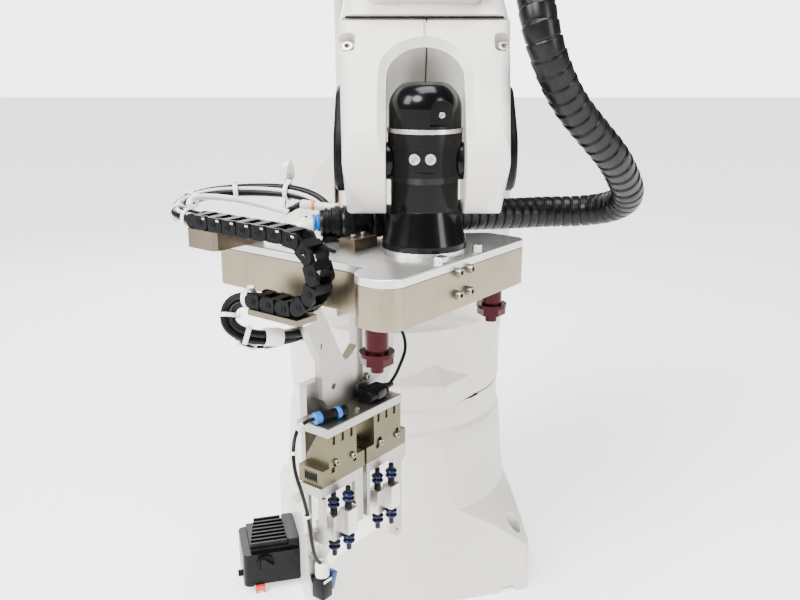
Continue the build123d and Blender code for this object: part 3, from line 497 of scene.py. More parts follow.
def skinAlong(name, line, sizes, material, height=None):
    # tube along a line; height shapes the ribs from each rib's own share, angle and offset make it a strand
    g = Growth(name, sizes)
    curve = g.add("GeometryNodeMeshToCurve", {}, {"Mesh": g.wire(g.entry, "Geometry")})
    fine = g.add("GeometryNodeResampleCurve", {"mode": "LENGTH"}, {
        "Curve": curve, "Length": g.size("ringStep"),
    })
    run = g.wire(g.add("GeometryNodeSplineParameter"), "Length")
    radius = g.size("radius")
    if height:
        radius = radius + g.size("ribHeight") * height((run / g.size("pitch")).fraction())
    if "offset" in sizes:
        across = g.wire(g.add("GeometryNodeInputNormal"))
        beside = g.vector("CROSS_PRODUCT", g.wire(g.add("GeometryNodeInputTangent")), across)
        turn = g.size("angle") + run * g.size("twist")
        first = g.vector("SCALE", across, scale=turn.crossWave() * g.size("offset"))
        second = g.vector("SCALE", beside, scale=turn.wave() * g.size("offset"))
        fine = g.add("GeometryNodeSetPosition", {}, {
            "Geometry": fine, "Offset": g.vector("ADD", first, second),
        })
    circle = g.add("GeometryNodeCurvePrimitiveCircle", {}, {"Resolution": g.size("sides"), "Radius": 1.0})
    skin = g.add("GeometryNodeCurveToMesh", {}, {
        "Curve": fine, "Profile Curve": circle, "Scale": radius, "Fill Caps": True,
    })
    return g.harvest(lineHolder(name, line), skin, material)


def overlapping(share):
    # each band starts proud and falls back under the next one
    return (share * 11).clip(0, 1) * ((1 - share) * 16).clip(0, 1) * (1 - share * 0.55)


def roundRib(share):
    return 1 - (2 * share - 1).magnitude() ** 7


hose = {
    "diameter": 0.0345, "sides": 40, "ringStep": 0.0009,
    "upperRoute": (
        (0.1236, -0.2931, 0.9319), (0.1236, -0.3137, 0.9074), (0.1275, -0.363, 0.872), (0.129, -0.407, 0.836),
        (0.132, -0.434, 0.796), (0.145, -0.430, 0.760), (0.1675, -0.410, 0.724), (0.1995, -0.3865, 0.692),
        (0.228, -0.363, 0.664), (0.2455, -0.3335, 0.638),
    ),
    "upperPitch": 0.0140, "upperLow": 0.0153, "upperRib": 0.0023,
    "lowerRoute": (
        (0.2455, -0.3335, 0.638), (0.2551, -0.3173, 0.6237), (0.248, -0.287, 0.606), (0.218, -0.2675, 0.597),
        (0.174, -0.265, 0.596), (0.1285, -0.2785, 0.596), (0.086, -0.294, 0.5985), (0.0455, -0.3155, 0.5985),
        (-0.001, -0.3342, 0.599), (-0.0606, -0.344, 0.599),
    ),
    "lowerPitch": 0.0108, "lowerLow": 0.0155, "lowerRib": 0.0019,
    # points on each hose near the first and the second of its two bodies
    "upperBlend": ((0.1236, -0.330, 0.890), (0.238, -0.345, 0.650)),
    "lowerBlend": ((0.215, -0.270, 0.600), (-0.040, -0.340, 0.600)),
}


def hoseSkin(name, line, part, height):
    return link(name, skinAlong(name, line, {
        "radius": hose[part + "Low"], "ribHeight": hose[part + "Rib"], "pitch": hose[part + "Pitch"],
        "ringStep": hose["ringStep"], "sides": hose["sides"],
    }, hoseRubber, height))


upperLine = splineLine("hoseUpperRoute", hose["upperRoute"])
lowerLine = splineLine("hoseLowerRoute", hose["lowerRoute"])
hoseUpper = hoseSkin("hoseUpper", upperLine, "upper", overlapping)
lineLength(upperLine)
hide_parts("hose_upper")
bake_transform(hoseUpper)

hoseLower = hoseSkin("hoseLower", lowerLine, "lower", roundRib)
lineLength(lowerLine)
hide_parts("hose_lower")
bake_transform(hoseLower)
print("hose:", round(lineLength(upperLine), 3), "and", round(lineLength(lowerLine), 3))

bundles = {
    "upperRoute": (
        (0.016, 0.134, 0.580), (0.016, 0.134, 0.598), (0.014, 0.148, 0.614), (0.009, 0.176, 0.621),
        (-0.003, 0.208, 0.622), (-0.026, 0.240, 0.621), (-0.058, 0.260, 0.619), (-0.092, 0.258, 0.613),
        (-0.114, 0.238, 0.608), (-0.1175, 0.216, 0.607), (-0.1175, 0.1942, 0.607),
    ),
    "lowerRoute": (
        (-0.1175, 0.1102, 0.537), (-0.1175, 0.131, 0.537), (-0.126, 0.150, 0.528), (-0.134, 0.146, 0.508),
        (-0.124, 0.128, 0.497), (-0.104, 0.114, 0.494), (-0.084, 0.109, 0.490), (-0.066, 0.109, 0.490),
    ),
    "diameter": 0.014, "ringStep": 0.0025, "sides": 14,
    # finish, radius, offset from the middle, angle in degrees
    "upperStrands": (
        (cableBlack, 0.0037, 0.0046, 95), (cableGrey, 0.0019, 0.0040, 20),
        (cableBlack, 0.0035, 0.0046, 215), (cableWhite, 0.0022, 0.0050, 155),
        (cableBlack, 0.0026, 0.0048, 320), (cableWhite, 0.0019, 0.0056, 265),
    ),
    "lowerStrands": (
        (cableBlack, 0.0042, 0.0042, 90), (cableBlack, 0.0040, 0.0042, 215),
        (cableBlack, 0.0024, 0.0056, 330), (cableWhite, 0.0015, 0.0062, 25),
    ),
    "twist": 9.0,            # radians per metre
}


def toolLine(name, route):
    return splineLine(name + "Route", [onTool(*p) for p in route])


def toolCord(name, mesh, line, stands=()):
    made = link(name, mesh)
    lineLength(line)
    settle(made, "tool", stands)


def cableBundle(name, route, strands, stands):
    line = toolLine(name, route)
    piece = Workpiece(name, *dict.fromkeys(finish for finish, *_ in strands))
    for number, (finish, radius, offset, angle) in enumerate(strands):
        strand = skinAlong(f"{name}{number}", line, {
            "radius": radius, "offset": offset, "angle": math.radians(angle), "twist": bundles["twist"],
            "ringStep": bundles["ringStep"], "sides": bundles["sides"],
        }, finish)
        piece.take(strand, piece.finishes.index(finish))
    toolCord(name, piece.mesh(), line, stands)
    return line


bundleUpperLine = cableBundle("bundleUpper", bundles["upperRoute"], bundles["upperStrands"],
                              ("cable_bundle_upper",))
bundleLowerLine = cableBundle("bundleLower", bundles["lowerRoute"], bundles["lowerStrands"],
                              ("cable_bundle_lower",))

thinCables = {
    "diameter": 0.004, "ringStep": 0.002, "sides": 12,
    "sensorRoute": (
        (-0.082, 0.080, 0.4055), (-0.096, 0.0842, 0.4055), (-0.113, 0.080, 0.394), (-0.123, 0.071, 0.368),
        (-0.118, 0.064, 0.338), (-0.113, 0.062, 0.310), (-0.111, 0.061, 0.284), (-0.106, 0.061, 0.260),
        (-0.095, 0.062, 0.248), (-0.095, 0.062, 0.235),
    ),
    "plugRoute": (
        (0.026, 0.076, 0.4065), (0.038, 0.076, 0.4065), (0.053, 0.078, 0.412), (0.067, 0.080, 0.424),
        (0.082, 0.084, 0.436), (0.086, 0.090, 0.452), (0.079, 0.095, 0.466), (0.065, 0.095, 0.466),
    ),
}


def plainCord(name, line, diameter, finish, sides=thinCables["sides"], stands=()):
    skin = skinAlong(name, line, {
        "radius": diameter / 2, "ringStep": thinCables["ringStep"], "sides": sides,
    }, finish)
    toolCord(name, skin, line, stands)


sensorLine = toolLine("sensorLead", thinCables["sensorRoute"])
plainCord("sensorLead", sensorLine, thinCables["diameter"], cableBlack, stands=("sensor_cable",))
plainCord("plugLead", toolLine("plugLead", thinCables["plugRoute"]), thinCables["diameter"], cableBlack,
          stands=("plug_cable",))
print("cables: two bundles and two thin leads")


# screws: one pattern of unit size, set on points that carry its direction and size

screwHead = {
    # radius and height of each ring on a head of unit size, then the heights of the socket's rim and floor
    "rings": ((1.0, 0.0), (1.0, 0.84), (0.90, 1.0)), "socketHeights": (1.0, 0.45),
    "socket": 0.50,          # half across the flats
    "segments": 24,
}


def screwPattern():
    piece = Workpiece("screwPattern", steel)
    segments = screwHead["segments"]
    turns = [math.tau * i / segments for i in range(segments)]
    rings = [[(radius * math.cos(turn), radius * math.sin(turn), height) for turn in turns]
             for radius, height in screwHead["rings"]]
    for height in screwHead["socketHeights"]:
        reach = [screwHead["socket"] / math.cos((turn + math.pi / 6) % (math.pi / 3) - math.pi / 6)
                 for turn in turns]
        rings.append([(r * math.cos(turn), r * math.sin(turn), height) for r, turn in zip(reach, turns)])
    made = [[piece.bm.verts.new(p) for p in ring] for ring in rings]
    for low, high in zip(made, made[1:]):
        for i in range(segments):
            j = (i + 1) % segments
            piece.bm.faces.new((low[i], low[j], high[j], high[i]))
    piece.bm.faces.new(made[0][::-1])
    piece.bm.faces.new(made[-1])
    return link("screwPattern", piece.mesh(30))


def scatter(name, pattern, spots, material):
    # spots: place, direction, radius and height of each copy
    mesh = bpy.data.meshes.new(name)
    mesh.from_pydata([place for place, *_ in spots], [], [])
    aim = mesh.attributes.new("aim", "FLOAT_VECTOR", "POINT")
    grow = mesh.attributes.new("grow", "FLOAT_VECTOR", "POINT")
    for i, (_, direction, radius, height) in enumerate(spots):
        aim.data[i].vector = direction
        grow.data[i].vector = (radius, radius, height)
    g = Growth(name, {"scale": 1.0})
    info = g.wire(g.add("GeometryNodeObjectInfo", {}, {"Object": pattern}), "Geometry")
    turn = g.add("FunctionNodeAlignRotationToVector", {"axis": "Z"}, {"Vector": g.named("aim")})
    copies = g.add("GeometryNodeInstanceOnPoints", {}, {
        "Points": g.wire(g.entry, "Geometry"), "Instance": info, "Rotation": turn,
        "Scale": g.vector("SCALE", g.named("grow"), scale=g.size("scale")),
    })
    mesh = g.harvest(link(name, mesh), copies, material)
    mesh.set_sharp_from_angle(angle=math.radians(35))
    return mesh


toolFace = -acrossTool
screws = {
    # place, direction, head radius and height
    "turret": [
        (Vector((side * 0.153, 0.062 * math.cos(turn), 0.545 + 0.062 * math.sin(turn))), (side, 0, 0),
         0.0042, 0.0042)
        for side in (-1, 1) for turn in (math.pi / 4 * i for i in range(8))
    ],
    "elbow": [
        (onForearm(-0.016 + right, 0.034 + above, 0.6055), foreBack, 0.0040, 0.0028)
        for right in (-0.074, 0.074) for above in (-0.018, 0.018)
    ],
    "forearm": [
        (onForearm(-0.0755, 0.0388, 0.102), foreUp, 0.0056, 0.0066),
        (onForearm(0.077, 0.0388, 0.102), foreUp, 0.0056, 0.0066),
        *((onForearm(right, 0.0805, 0.188 + back), foreUp, 0.0040, 0.0024)
          for right in (-0.047, 0.047) for back in (-0.031, 0.031)),
    ],
    "wrist": [
        (bendAxis + Vector((-0.0105, -0.0332, 0.0053)), (0, -1, 0), 0.0053, 0.0050),
        (bendAxis + Vector((0.0044, -0.0332, 0.0053)), (0, -1, 0), 0.0053, 0.0050),
        (bendAxis + Vector((0.0150, -0.0248, 0.0450)), (0, -1, 0), 0.0030, 0.0020),
    ],
    "tool": [
        *((onTool(u, -0.0500, z), toolFace, 0.0044, 0.0060)
          for u, z in ((-0.015, 0.569), (0.0045, 0.569), (-0.015, 0.5465), (0.0045, 0.5465))),
        *((onTool(u, 0.0602, z), toolFace, 0.0034, 0.0034)
          for u, z in ((-0.0715, 0.359), (-0.0445, 0.3565), (0.0025, 0.354), (0.032, 0.352))),
        (onTool(0.016, 0.0902, 0.421), toolFace, 0.0042, 0.0040),
        *((onTool(u, v, z), upward, 0.0030, 0.0030)
          for u, v, z in ((-0.036, 0.062, 0.592), (-0.020, 0.062, 0.592), (-0.080, 0.194, 0.5997),
                          (-0.080, 0.174, 0.5997))),
        *((onTool(u, v, 0.3990), upward, 0.0028, 0.0028)
          for u, v in ((-0.070, 0.096), (-0.024, 0.070), (0.034, 0.094), (-0.024, 0.096))),
    ],
}
pattern = screwPattern()
for body, spots in screws.items():
    mesh = scatter(f"{body}Screws", pattern, spots, dullSteel if body == "tool" else steel)
    settle(link(f"{body}Screws", mesh), body)
bpy.data.objects.remove(pattern)
print("screws:", sum(len(spots) for spots in screws.values()))


# profiles of small round parts, as radius and height

def pin(radius, low, high, chamfer):
    return (0, low), (radius, low), (radius, high - chamfer), (radius - chamfer, high), (0, high)


def disc(radius, low, high):
    return (0, low), (radius, low), (radius, high), (0, high)


# suction cups: black stem, two round bellows and a nozzle, above and below each block

cup = {
    # along, across, underside of the block, block height, free length above
    "stations": (
        (-0.0733, 0.063, 0.270, 0.028, 0.026), (-0.0645, 0.050, 0.278, 0.028, 0.025),
        (0.0008, 0.063, 0.268, 0.028, 0.026), (0.0095, 0.050, 0.275, 0.028, 0.025),
    ),
    "stem": 0.0040, "stemChamfer": 0.0008, "stemAbove": 0.0078, "stemBelow": 0.0028,
    "neck": 0.0033, "lobe": 0.0068, "lobeHeight": 0.0056, "lobes": 2, "lobeSteps": 8, "fullness": 0.7,
    "tip": 0.0030, "tipChamfer": 0.0006, "freeBelow": 0.0220, "overlap": 0.0004,
    "smallPlace": (-0.0305, 0.070, 0.272),
    "small": ((0, 0), (0.0036, 0), (0.0048, -0.0018), (0.0044, -0.0040), (0.0030, -0.0058), (0.0030, -0.0130),
              (0, -0.0130)),
}


def bellowsCup(piece, place, stemHeight, total):
    piece.turned(pin(cup["stem"], -cup["overlap"], stemHeight, cup["stemChamfer"]), place, 0, 20)
    profile = [(0, stemHeight - cup["overlap"]), (cup["neck"], stemHeight - cup["overlap"])]
    for lobe in range(cup["lobes"]):
        for i in range(cup["lobeSteps"] + 1):
            share = i / cup["lobeSteps"]
            swell = math.sin(math.pi * share) ** cup["fullness"]
            profile.append((cup["neck"] + (cup["lobe"] - cup["neck"]) * swell,
                            stemHeight + (lobe + share) * cup["lobeHeight"]))
    end = stemHeight + cup["lobes"] * cup["lobeHeight"]
    piece.turned(profile + [(0, end)], place, 1, 24)
    piece.turned(pin(cup["tip"], end - cup["overlap"], total, cup["tipChamfer"]), place, 0, 18)


cupsUpper = Workpiece("cupsUpper", cableBlack, cupBlue)
cupsLower = Workpiece("cupsLower", cableBlack, cupBlue)
for along, across, low, height, free in cup["stations"]:
    bellowsCup(cupsUpper, placeAt(onTool(along, across, low + height), upward), cup["stemAbove"], free)
    bellowsCup(cupsLower, placeAt(onTool(along, across, low), -upward), cup["stemBelow"], cup["freeBelow"])
cupsLower.turned(cup["small"], placeAt(onTool(*cup["smallPlace"]), upward), 0, 18)
cupsUpper.done("tool", "blue_rubber", ("cups_upper",), 50)
cupsLower.done("tool", "blue_rubber", ("cups_lower",), 50)

# plug on the gripper bar: black grip between two bright rings

leftPlug = {
    "start": (-0.082, 0.080, 0.4055), "end": (-0.0507, 0.0706, 0.4055),
    "grip": ((0, 0.0085), (0.0052, 0.0085), (0.0060, 0.0105), (0.0052, 0.0125), (0.0060, 0.0145), (0.0052, 0.0165),
             (0.0060, 0.0185), (0.0052, 0.0205), (0.0058, 0.0225), (0.0056, 0.0270), (0, 0.0270)),
    "rings": ((0.0002, 0.0085), (0.0268, 0.0325)),
    "ringRadius": 0.0066, "ringFront": 0.0012, "ringBack": 0.0010,
    "tail": ((0, 0.0320), (0.0062, 0.0320), (0.0062, 0.0390), (0.0054, 0.0400), (0, 0.0400)),
}
plug = Workpiece("plugLeft", chainBlack, plugBlue)
plugPlace = placeAt(onTool(*leftPlug["start"]), onTool(*leftPlug["end"]) - onTool(*leftPlug["start"]))
plug.turned(leftPlug["grip"], plugPlace)
plug.turned(leftPlug["tail"], plugPlace)
radius, front, back = leftPlug["ringRadius"], leftPlug["ringFront"], leftPlug["ringBack"]
for low, high in leftPlug["rings"]:
    plug.turned(((0, low), (radius - front, low), (radius, low + front), (radius, high - back),
                 (radius - back, high), (0, high)), plugPlace, 1)
plug.done("tool", "black_plastic", ("connector_left",))

# rounded plug at the right end of the bar: its window and the lead's boot

rightPlug = {
    "window": (0.014, 0.0016, 0.010), "windowPlace": (0.012, 0.0642, 0.4075), "windowEdge": 0.0006,
    "boot": ((0, 0), (0.0055, 0), (0.0050, 0.004), (0.0034, 0.012), (0.0028, 0.018), (0, 0.018)),
    "bootPlace": (0.0262, 0.076, 0.4065),
}
plugTrim = Workpiece("plugRightTrim", wristBlack, chainBlack)
plugTrim.block(rightPlug["window"], placeAt(onTool(*rightPlug["windowPlace"]), upward, alongTool), 0,
               rightPlug["windowEdge"])
plugTrim.turned(rightPlug["boot"], placeAt(onTool(*rightPlug["bootPlace"]), alongTool), 1)
plugTrim.done("tool", "black_plastic")

# sensor: dark body with a blue block and a white sleeve over the lead

sensor = {
    # size, place, lean, finish, edge
    "blocks": (
        ((0.0150, 0.0160, 0.0250), (-0.0955, 0.062, 0.2220), 0, 0, 0.0010),
        ((0.0085, 0.0130, 0.0200), (-0.0842, 0.062, 0.2250), 0.35, 1, 0.0008),
        ((0.0120, 0.0010, 0.0030), (-0.0955, 0.0538, 0.2315), 0, 2, 0.0003),
    ),
    "sleeve": ((0.0032, 0.2340), (0.0072, 0.2340), (0.0076, 0.2360), (0.0076, 0.2480), (0.0066, 0.2510),
               (0.0032, 0.2510), (0.0032, 0.2340)),
    "sleevePlace": (-0.095, 0.062, 0),
    "foot": ((0, 0), (0.0050, 0), (0.0056, -0.0020), (0.0040, -0.0034), (0, -0.0034)),
    "footPlace": (-0.090, 0.062, 0.2095),
}
head = Workpiece("sensorHead", chainBlack, labelBlue, tieWhite, steel)
for size, spot, lean, finish, edge in sensor["blocks"]:
    head.block(size, placeAt(onTool(*spot), upward + alongTool * lean, alongTool), finish, edge)
head.turned(sensor["sleeve"], placeAt(onTool(*sensor["sleevePlace"]), upward), 2)
head.turned(sensor["foot"], placeAt(onTool(*sensor["footPlace"]), upward), 3)
head.done("tool", "black_plastic", ("sensor",))

# socket in the left body's window, with its two rows of teeth

socket = {
    "back": (0.0180, 0.0028, 0.0110), "place": (-0.0899, 0.077, 0.3455), "backEdge": 0.0003,
    "tooth": (0.0012, 0.0030, 0.0022), "toothAlong": -0.0908, "toothAcross": 0.0705, "toothPitch": 0.0033,
    "toothCount": 5, "toothRows": (0.3502, 0.3408), "toothEdge": 0.0002,
}
port = Workpiece("portSocket", seamDark, olive)
port.block(socket["back"], placeAt(onTool(*socket["place"]), upward, acrossTool), 0, socket["backEdge"])
for i in range(socket["toothCount"]):
    for up in socket["toothRows"]:
        spot = onTool(socket["toothAlong"], socket["toothAcross"] + socket["toothPitch"] * i, up)
        port.block(socket["tooth"], placeAt(spot, upward, acrossTool), 1, socket["toothEdge"])
port.done("tool", "olive")
print("gripper: cups, plugs, sensor and socket")


# ties, labels and rings along the cords: band patterns of unit radius and width

bands = {
    # inner radius, rim, crown, half width of the crown, segments
    "tieShape": (0.98, 1.10, 1.13, 0.38, 24), "plainShape": (0.96, 1.06, 1.12, 0.36, 28),
    "head": (0.42, 0.46, 1.2), "headReach": 1.22, "headEdge": 0.05,
    # line, distance along it, radius, width
    "ties": (
        (bundleUpperLine, 0.082, 0.0090, 0.0050), (bundleUpperLine, 0.142, 0.0090, 0.0052),
        (bundleUpperLine, 0.196, 0.0090, 0.0050), (bundleUpperLine, 0.238, 0.0088, 0.0048),
        (bundleUpperLine, 0.262, 0.0086, 0.0048), (bundleLowerLine, 0.018, 0.0090, 0.0070),
        (bundleLowerLine, 0.052, 0.0088, 0.0042), (bundleLowerLine, 0.082, 0.0088, 0.0050),
        (sensorLine, 0.048, 0.0030, 0.0035), (sensorLine, 0.118, 0.0034, 0.0030),
    ),
    "labels": ((bundleLowerLine, 0.108, 0.0086, 0.0190), (sensorLine, 0.020, 0.0024, 0.0100)),
    "endRings": ((lowerLine, 0.357, 0.0168, 0.0050), (lowerLine, 0.367, 0.0168, 0.0050)),
    "topRing": ((upperLine, 0.012, 0.0168, 0.0060),),
}


def bandPattern(name, shape, headed):
    inner, rim, crown, flat, segments = shape
    piece = Workpiece(name, tieWhite)
    piece.turned(((inner, -0.5), (rim, -0.5), (crown, -flat), (crown, flat), (rim, 0.5), (inner, 0.5),
                  (inner, -0.5)), Matrix.Identity(4), 0, segments)
    if headed:
        piece.block(bands["head"], Matrix.Translation((bands["headReach"], 0, 0)), 0, bands["headEdge"])
    return link(name, piece.mesh())


def bandsOf(name, rows, pattern, material, body):
    spots = [(*pointOn(line, distance), radius, width) for line, distance, radius, width in rows]
    settle(link(name, scatter(name, pattern, spots, material)), body)


tieShape = bandPattern("bandPattern", bands["tieShape"], True)
plainShape = bandPattern("plainBandPattern", bands["plainShape"], False)
bandsOf("cableTies", bands["ties"], tieShape, tieWhite, "tool")
bandsOf("cableLabels", bands["labels"], plainShape, tieWhite, "tool")
bandsOf("hoseEndRings", bands["endRings"], plainShape, cableBlack, "tool")
bandsOf("hoseTopRing", bands["topRing"], plainShape, cableBlack, "forearm")

# end of the hose: ribbed black body on a foot, blue collar and pale elbow with a dark port

hoseTail = {
    "start": Vector((-0.0606, -0.3440, 0.5990)), "run": Vector((-0.9867, -0.1623, 0)),
    "body": ((0, -0.001), (0.0158, -0.001), (0.0158, 0.0040), (0.0140, 0.0048), (0.0140, 0.0066), (0.0152, 0.0074),
             (0.0152, 0.0104), (0.0138, 0.0112), (0.0138, 0.0128), (0.0146, 0.0136), (0.0140, 0.0160), (0, 0.0160)),
    "collar": ((0, 0.0156), (0.0086, 0.0156), (0.0092, 0.0166), (0.0092, 0.0186), (0.0078, 0.0192),
               (0.0078, 0.0204), (0.0092, 0.0210), (0.0092, 0.0226), (0.0084, 0.0234), (0, 0.0234)),
    "elbowAt": 0.0225, "elbowLean": Vector((0, -0.10, -0.22)),
    "elbow": ((0, 0), (0.0072, 0), (0.0078, 0.003), (0.0070, 0.0110), (0.0054, 0.0150), (0.0054, 0.0270),
              (0.0046, 0.0285), (0, 0.0285)),
    "elbowBlock": (0.0150, 0.0110, 0.0120), "elbowBlockAt": 0.0070, "elbowEdge": 0.0012,
    "port": Vector((0.0074, 0, 0.006)), "portRadius": 0.0018, "portDepth": 0.0012,
    "foot": (0.0140, 0.0260, 0.0060), "footAt": 0.006, "footDrop": 0.0160, "footEdge": 0.0008,
}
start, run = hoseTail["start"], hoseTail["run"]
tail = Workpiece("hoseTail", cableBlack, plugBlue, tieWhite, seamDark)
tail.turned(hoseTail["body"], placeAt(start, run))
tail.turned(hoseTail["collar"], placeAt(start, run), 1)
elbowPlace = placeAt(start + run * hoseTail["elbowAt"], run + hoseTail["elbowLean"])
tail.turned(hoseTail["elbow"], elbowPlace, 2)
tail.block(hoseTail["elbowBlock"], elbowPlace @ Matrix.Translation((0, 0, hoseTail["elbowBlockAt"])), 2,
           hoseTail["elbowEdge"])
tail.turned(disc(hoseTail["portRadius"], 0, hoseTail["portDepth"]),
            placeAt(elbowPlace @ hoseTail["port"], elbowPlace.to_3x3() @ Vector((1, 0, 0))), 3, 14)
tail.block(hoseTail["foot"], placeAt(start + run * hoseTail["footAt"] - upward * hoseTail["footDrop"], upward, run),
           0, hoseTail["footEdge"])
tail.done("tool", "black_plastic", ("hose_end",))

# white air line beside the hose's end, with two orange collars and its black and white leads

airLine = {
    "from": Vector((-0.0998, -0.3075, 0.6120)), "to": Vector((-0.0500, -0.3190, 0.6090)),
    "tube": ((0, 0), (0.0040, 0), (0.0050, 0.0014), (0.0050, 0.0100), (0.0043, 0.0112), (0.0040, 0.0380),
             (0.0046, 0.0392), (0.0046, 0.0470), (0.0036, 0.0484), (0, 0.0484)),
    "collars": (0.0125, 0.0420),
    "collar": ((0.0036, 0), (0.0054, 0), (0.0056, 0.0008), (0.0056, 0.0024), (0.0050, 0.0034), (0.0036, 0.0034)),
    "endRadius": 0.0020, "endFrom": 0.0480, "endTo": 0.0560,
    "leadRun": Vector((-0.86, -0.10, -0.42)),
    "lead": ((0, -0.001), (0.0034, -0.001), (0.0034, 0.0060), (0.0030, 0.0066), (0.0030, 0.0110),
             (0.0034, 0.0116), (0.0034, 0.0190), (0.0024, 0.0200), (0, 0.0200)),
}
air = Workpiece("airLine", cableWhite, ringOrange, cableBlack)
airPlace = placeAt(airLine["from"], airLine["to"] - airLine["from"])
air.turned(airLine["tube"], airPlace)
for distance in airLine["collars"]:
    ring = [(radius, distance + height) for radius, height in airLine["collar"]]
    air.turned(ring + ring[:1], airPlace, 1)
air.turned(disc(airLine["endRadius"], airLine["endFrom"], airLine["endTo"]), airPlace, 2, 14)
air.turned(airLine["lead"], placeAt(airLine["from"], airLine["leadRun"]), 2, 18)
air.done("tool", "black_plastic")

# on the lid: round-headed tie before the hose's end, the bundle's gland; on the box's side a steel clip

lidTrim = {
    "ball": 0.0056, "ballSteps": 10, "ballPlace": (-0.0548, -0.3420, 0.5860), "ballAxis": (0.3, -0.8, 0.5),
    "strap": (0.0160, 0.0030, 0.0044), "strapPlace": (-0.0450, -0.3440, 0.5850), "strapAcross": (1, 0.1, 0.1),
    "gland": ((0, 0.5796), (0.0120, 0.5796), (0.0120, 0.5830), (0.0100, 0.5840), (0.0100, 0.5900),
              (0.0078, 0.5950), (0, 0.5950)),
    "glandPlace": (0.016, 0.134, 0),
    "clips": (((0.0110, 0.0030, 0.0140), (-0.080, 0.0880, 0.5120), 0.0006),
              ((0.0110, 0.0080, 0.0020), (-0.080, 0.0840, 0.5180), 0.0005)),
}
trim = Workpiece("lidTrim", tieWhite, cableBlack, steel)
turns = [math.pi * i / lidTrim["ballSteps"] for i in range(lidTrim["ballSteps"] + 1)]
trim.turned([(lidTrim["ball"] * math.sin(turn), -lidTrim["ball"] * math.cos(turn)) for turn in turns],
            placeAt(lidTrim["ballPlace"], lidTrim["ballAxis"]), 0, 20)
trim.block(lidTrim["strap"], placeAt(lidTrim["strapPlace"], upward, lidTrim["strapAcross"]), 0, 0.0006)
trim.turned(lidTrim["gland"], placeAt(onTool(*lidTrim["glandPlace"]), upward), 1, 6)
for size, spot, edge in lidTrim["clips"]:
    trim.block(size, placeAt(onTool(*spot), upward, alongTool), 2, edge)
trim.done("tool", "black_plastic")

# pale sleeve behind the chain, wire on the lid and the loose lead under the lower bundle with its two flags

loose = {
    "sleeve": ((-0.1220, 0.206, 0.6200), (-0.108, 0.226, 0.6240), (-0.086, 0.226, 0.6240),
               (-0.060, 0.206, 0.6200), (-0.040, 0.176, 0.6120), (-0.030, 0.158, 0.6060)),
    "sleeveDiameter": 0.0068, "sleeveSides": 16,
    "wire": ((-0.0207, 0.1156, 0.5850), (-0.0330, 0.1040, 0.5850), (-0.0500, 0.0930, 0.5838),
             (-0.0580, 0.0800, 0.5826), (-0.0606, 0.0649, 0.5818)),
    "wireDiameter": 0.0030,
    "from": 0.036, "to": 0.140, "steps": 8, "sag": Vector((0, -0.0030, -0.0105)), "leadDiameter": 0.0032,
    # distance, size
    "flags": ((0.052, (0.0060, 0.0016, 0.0200)), (0.078, (0.0054, 0.0016, 0.0190))),
    "flagEdge": 0.0005, "lineShifts": (-0.0014, 0.0014), "line": (0.0007, 0.0019), "lineShare": 0.8,
    "lineEdge": 0.0001,
}
plainCord("paleSleeve", toolLine("paleSleeve", loose["sleeve"]), loose["sleeveDiameter"], cableWhite,
          loose["sleeveSides"])
plainCord("lidWire", toolLine("lidWire", loose["wire"]), loose["wireDiameter"], cableBlack)
hanging = []
for i in range(loose["steps"] + 1):
    share = i / loose["steps"]
    spot, _ = pointOn(bundleLowerLine, loose["from"] + (loose["to"] - loose["from"]) * share)
    hanging.append(spot + loose["sag"] * math.sin(math.pi * share))
hangingLine = splineLine("looseLeadRoute", hanging)
plainCord("looseLead", hangingLine, loose["leadDiameter"], cableBlack)
flags = Workpiece("leadFlags", cableWhite, cableGrey)
for distance, size in loose["flags"]:
    flagPlace = placeAt(*pointOn(hangingLine, distance), upward)
    flags.block(size, flagPlace, 0, loose["flagEdge"])
    for shift in loose["lineShifts"]:
        flags.block((*loose["line"], size[2] * loose["lineShare"]), flagPlace @ Matrix.Translation((shift, 0, 0)), 1,
                    loose["lineEdge"])
flags.done("tool", "machined")
print("cord trim: ties, rings, hose tail, air line, sleeve, loose lead")

# energy chain: a ring mark on each link's side plate and two white ticks on the upper ones

chain = {
    "top": 0.607, "bendAcross": 0.068, "bendUp": 0.572, "radius": 0.035, "start": 0.200, "end": 0.116,
    "links": 14, "face": -0.1300, "lift": 0.0001,
    "markAt": 0.78, "markRadius": 0.0036, "markHeight": 0.0005,
    "markRing": ((0.62, 0), (0.62, 1), (0.74, 1.4), (1.0, 1.0), (1.0, 0), (0.62, 0)), "markCore": 0.34,
    "ticked": 8, "tickSteps": (0.0052, 0.0074), "tickRise": 0.0048, "tick": (0.0013, 0.0004, 0.0019),
    "tickEdge": 0.0001,
}


def chainPoint(distance):
    # across, up and direction on the chain's path
    straight = chain["start"] - chain["bendAcross"]
    if distance < straight:
        return chain["start"] - distance, chain["top"], (-1, 0)
    turn = (distance - straight) / chain["radius"]
    if turn < math.pi:
        return (chain["bendAcross"] - chain["radius"] * math.sin(turn),
                chain["bendUp"] + chain["radius"] * math.cos(turn), (-math.cos(turn), -math.sin(turn)))
    rest = distance - straight - math.pi * chain["radius"]
    return chain["bendAcross"] + rest, chain["bendUp"] - chain["radius"], (1, 0)


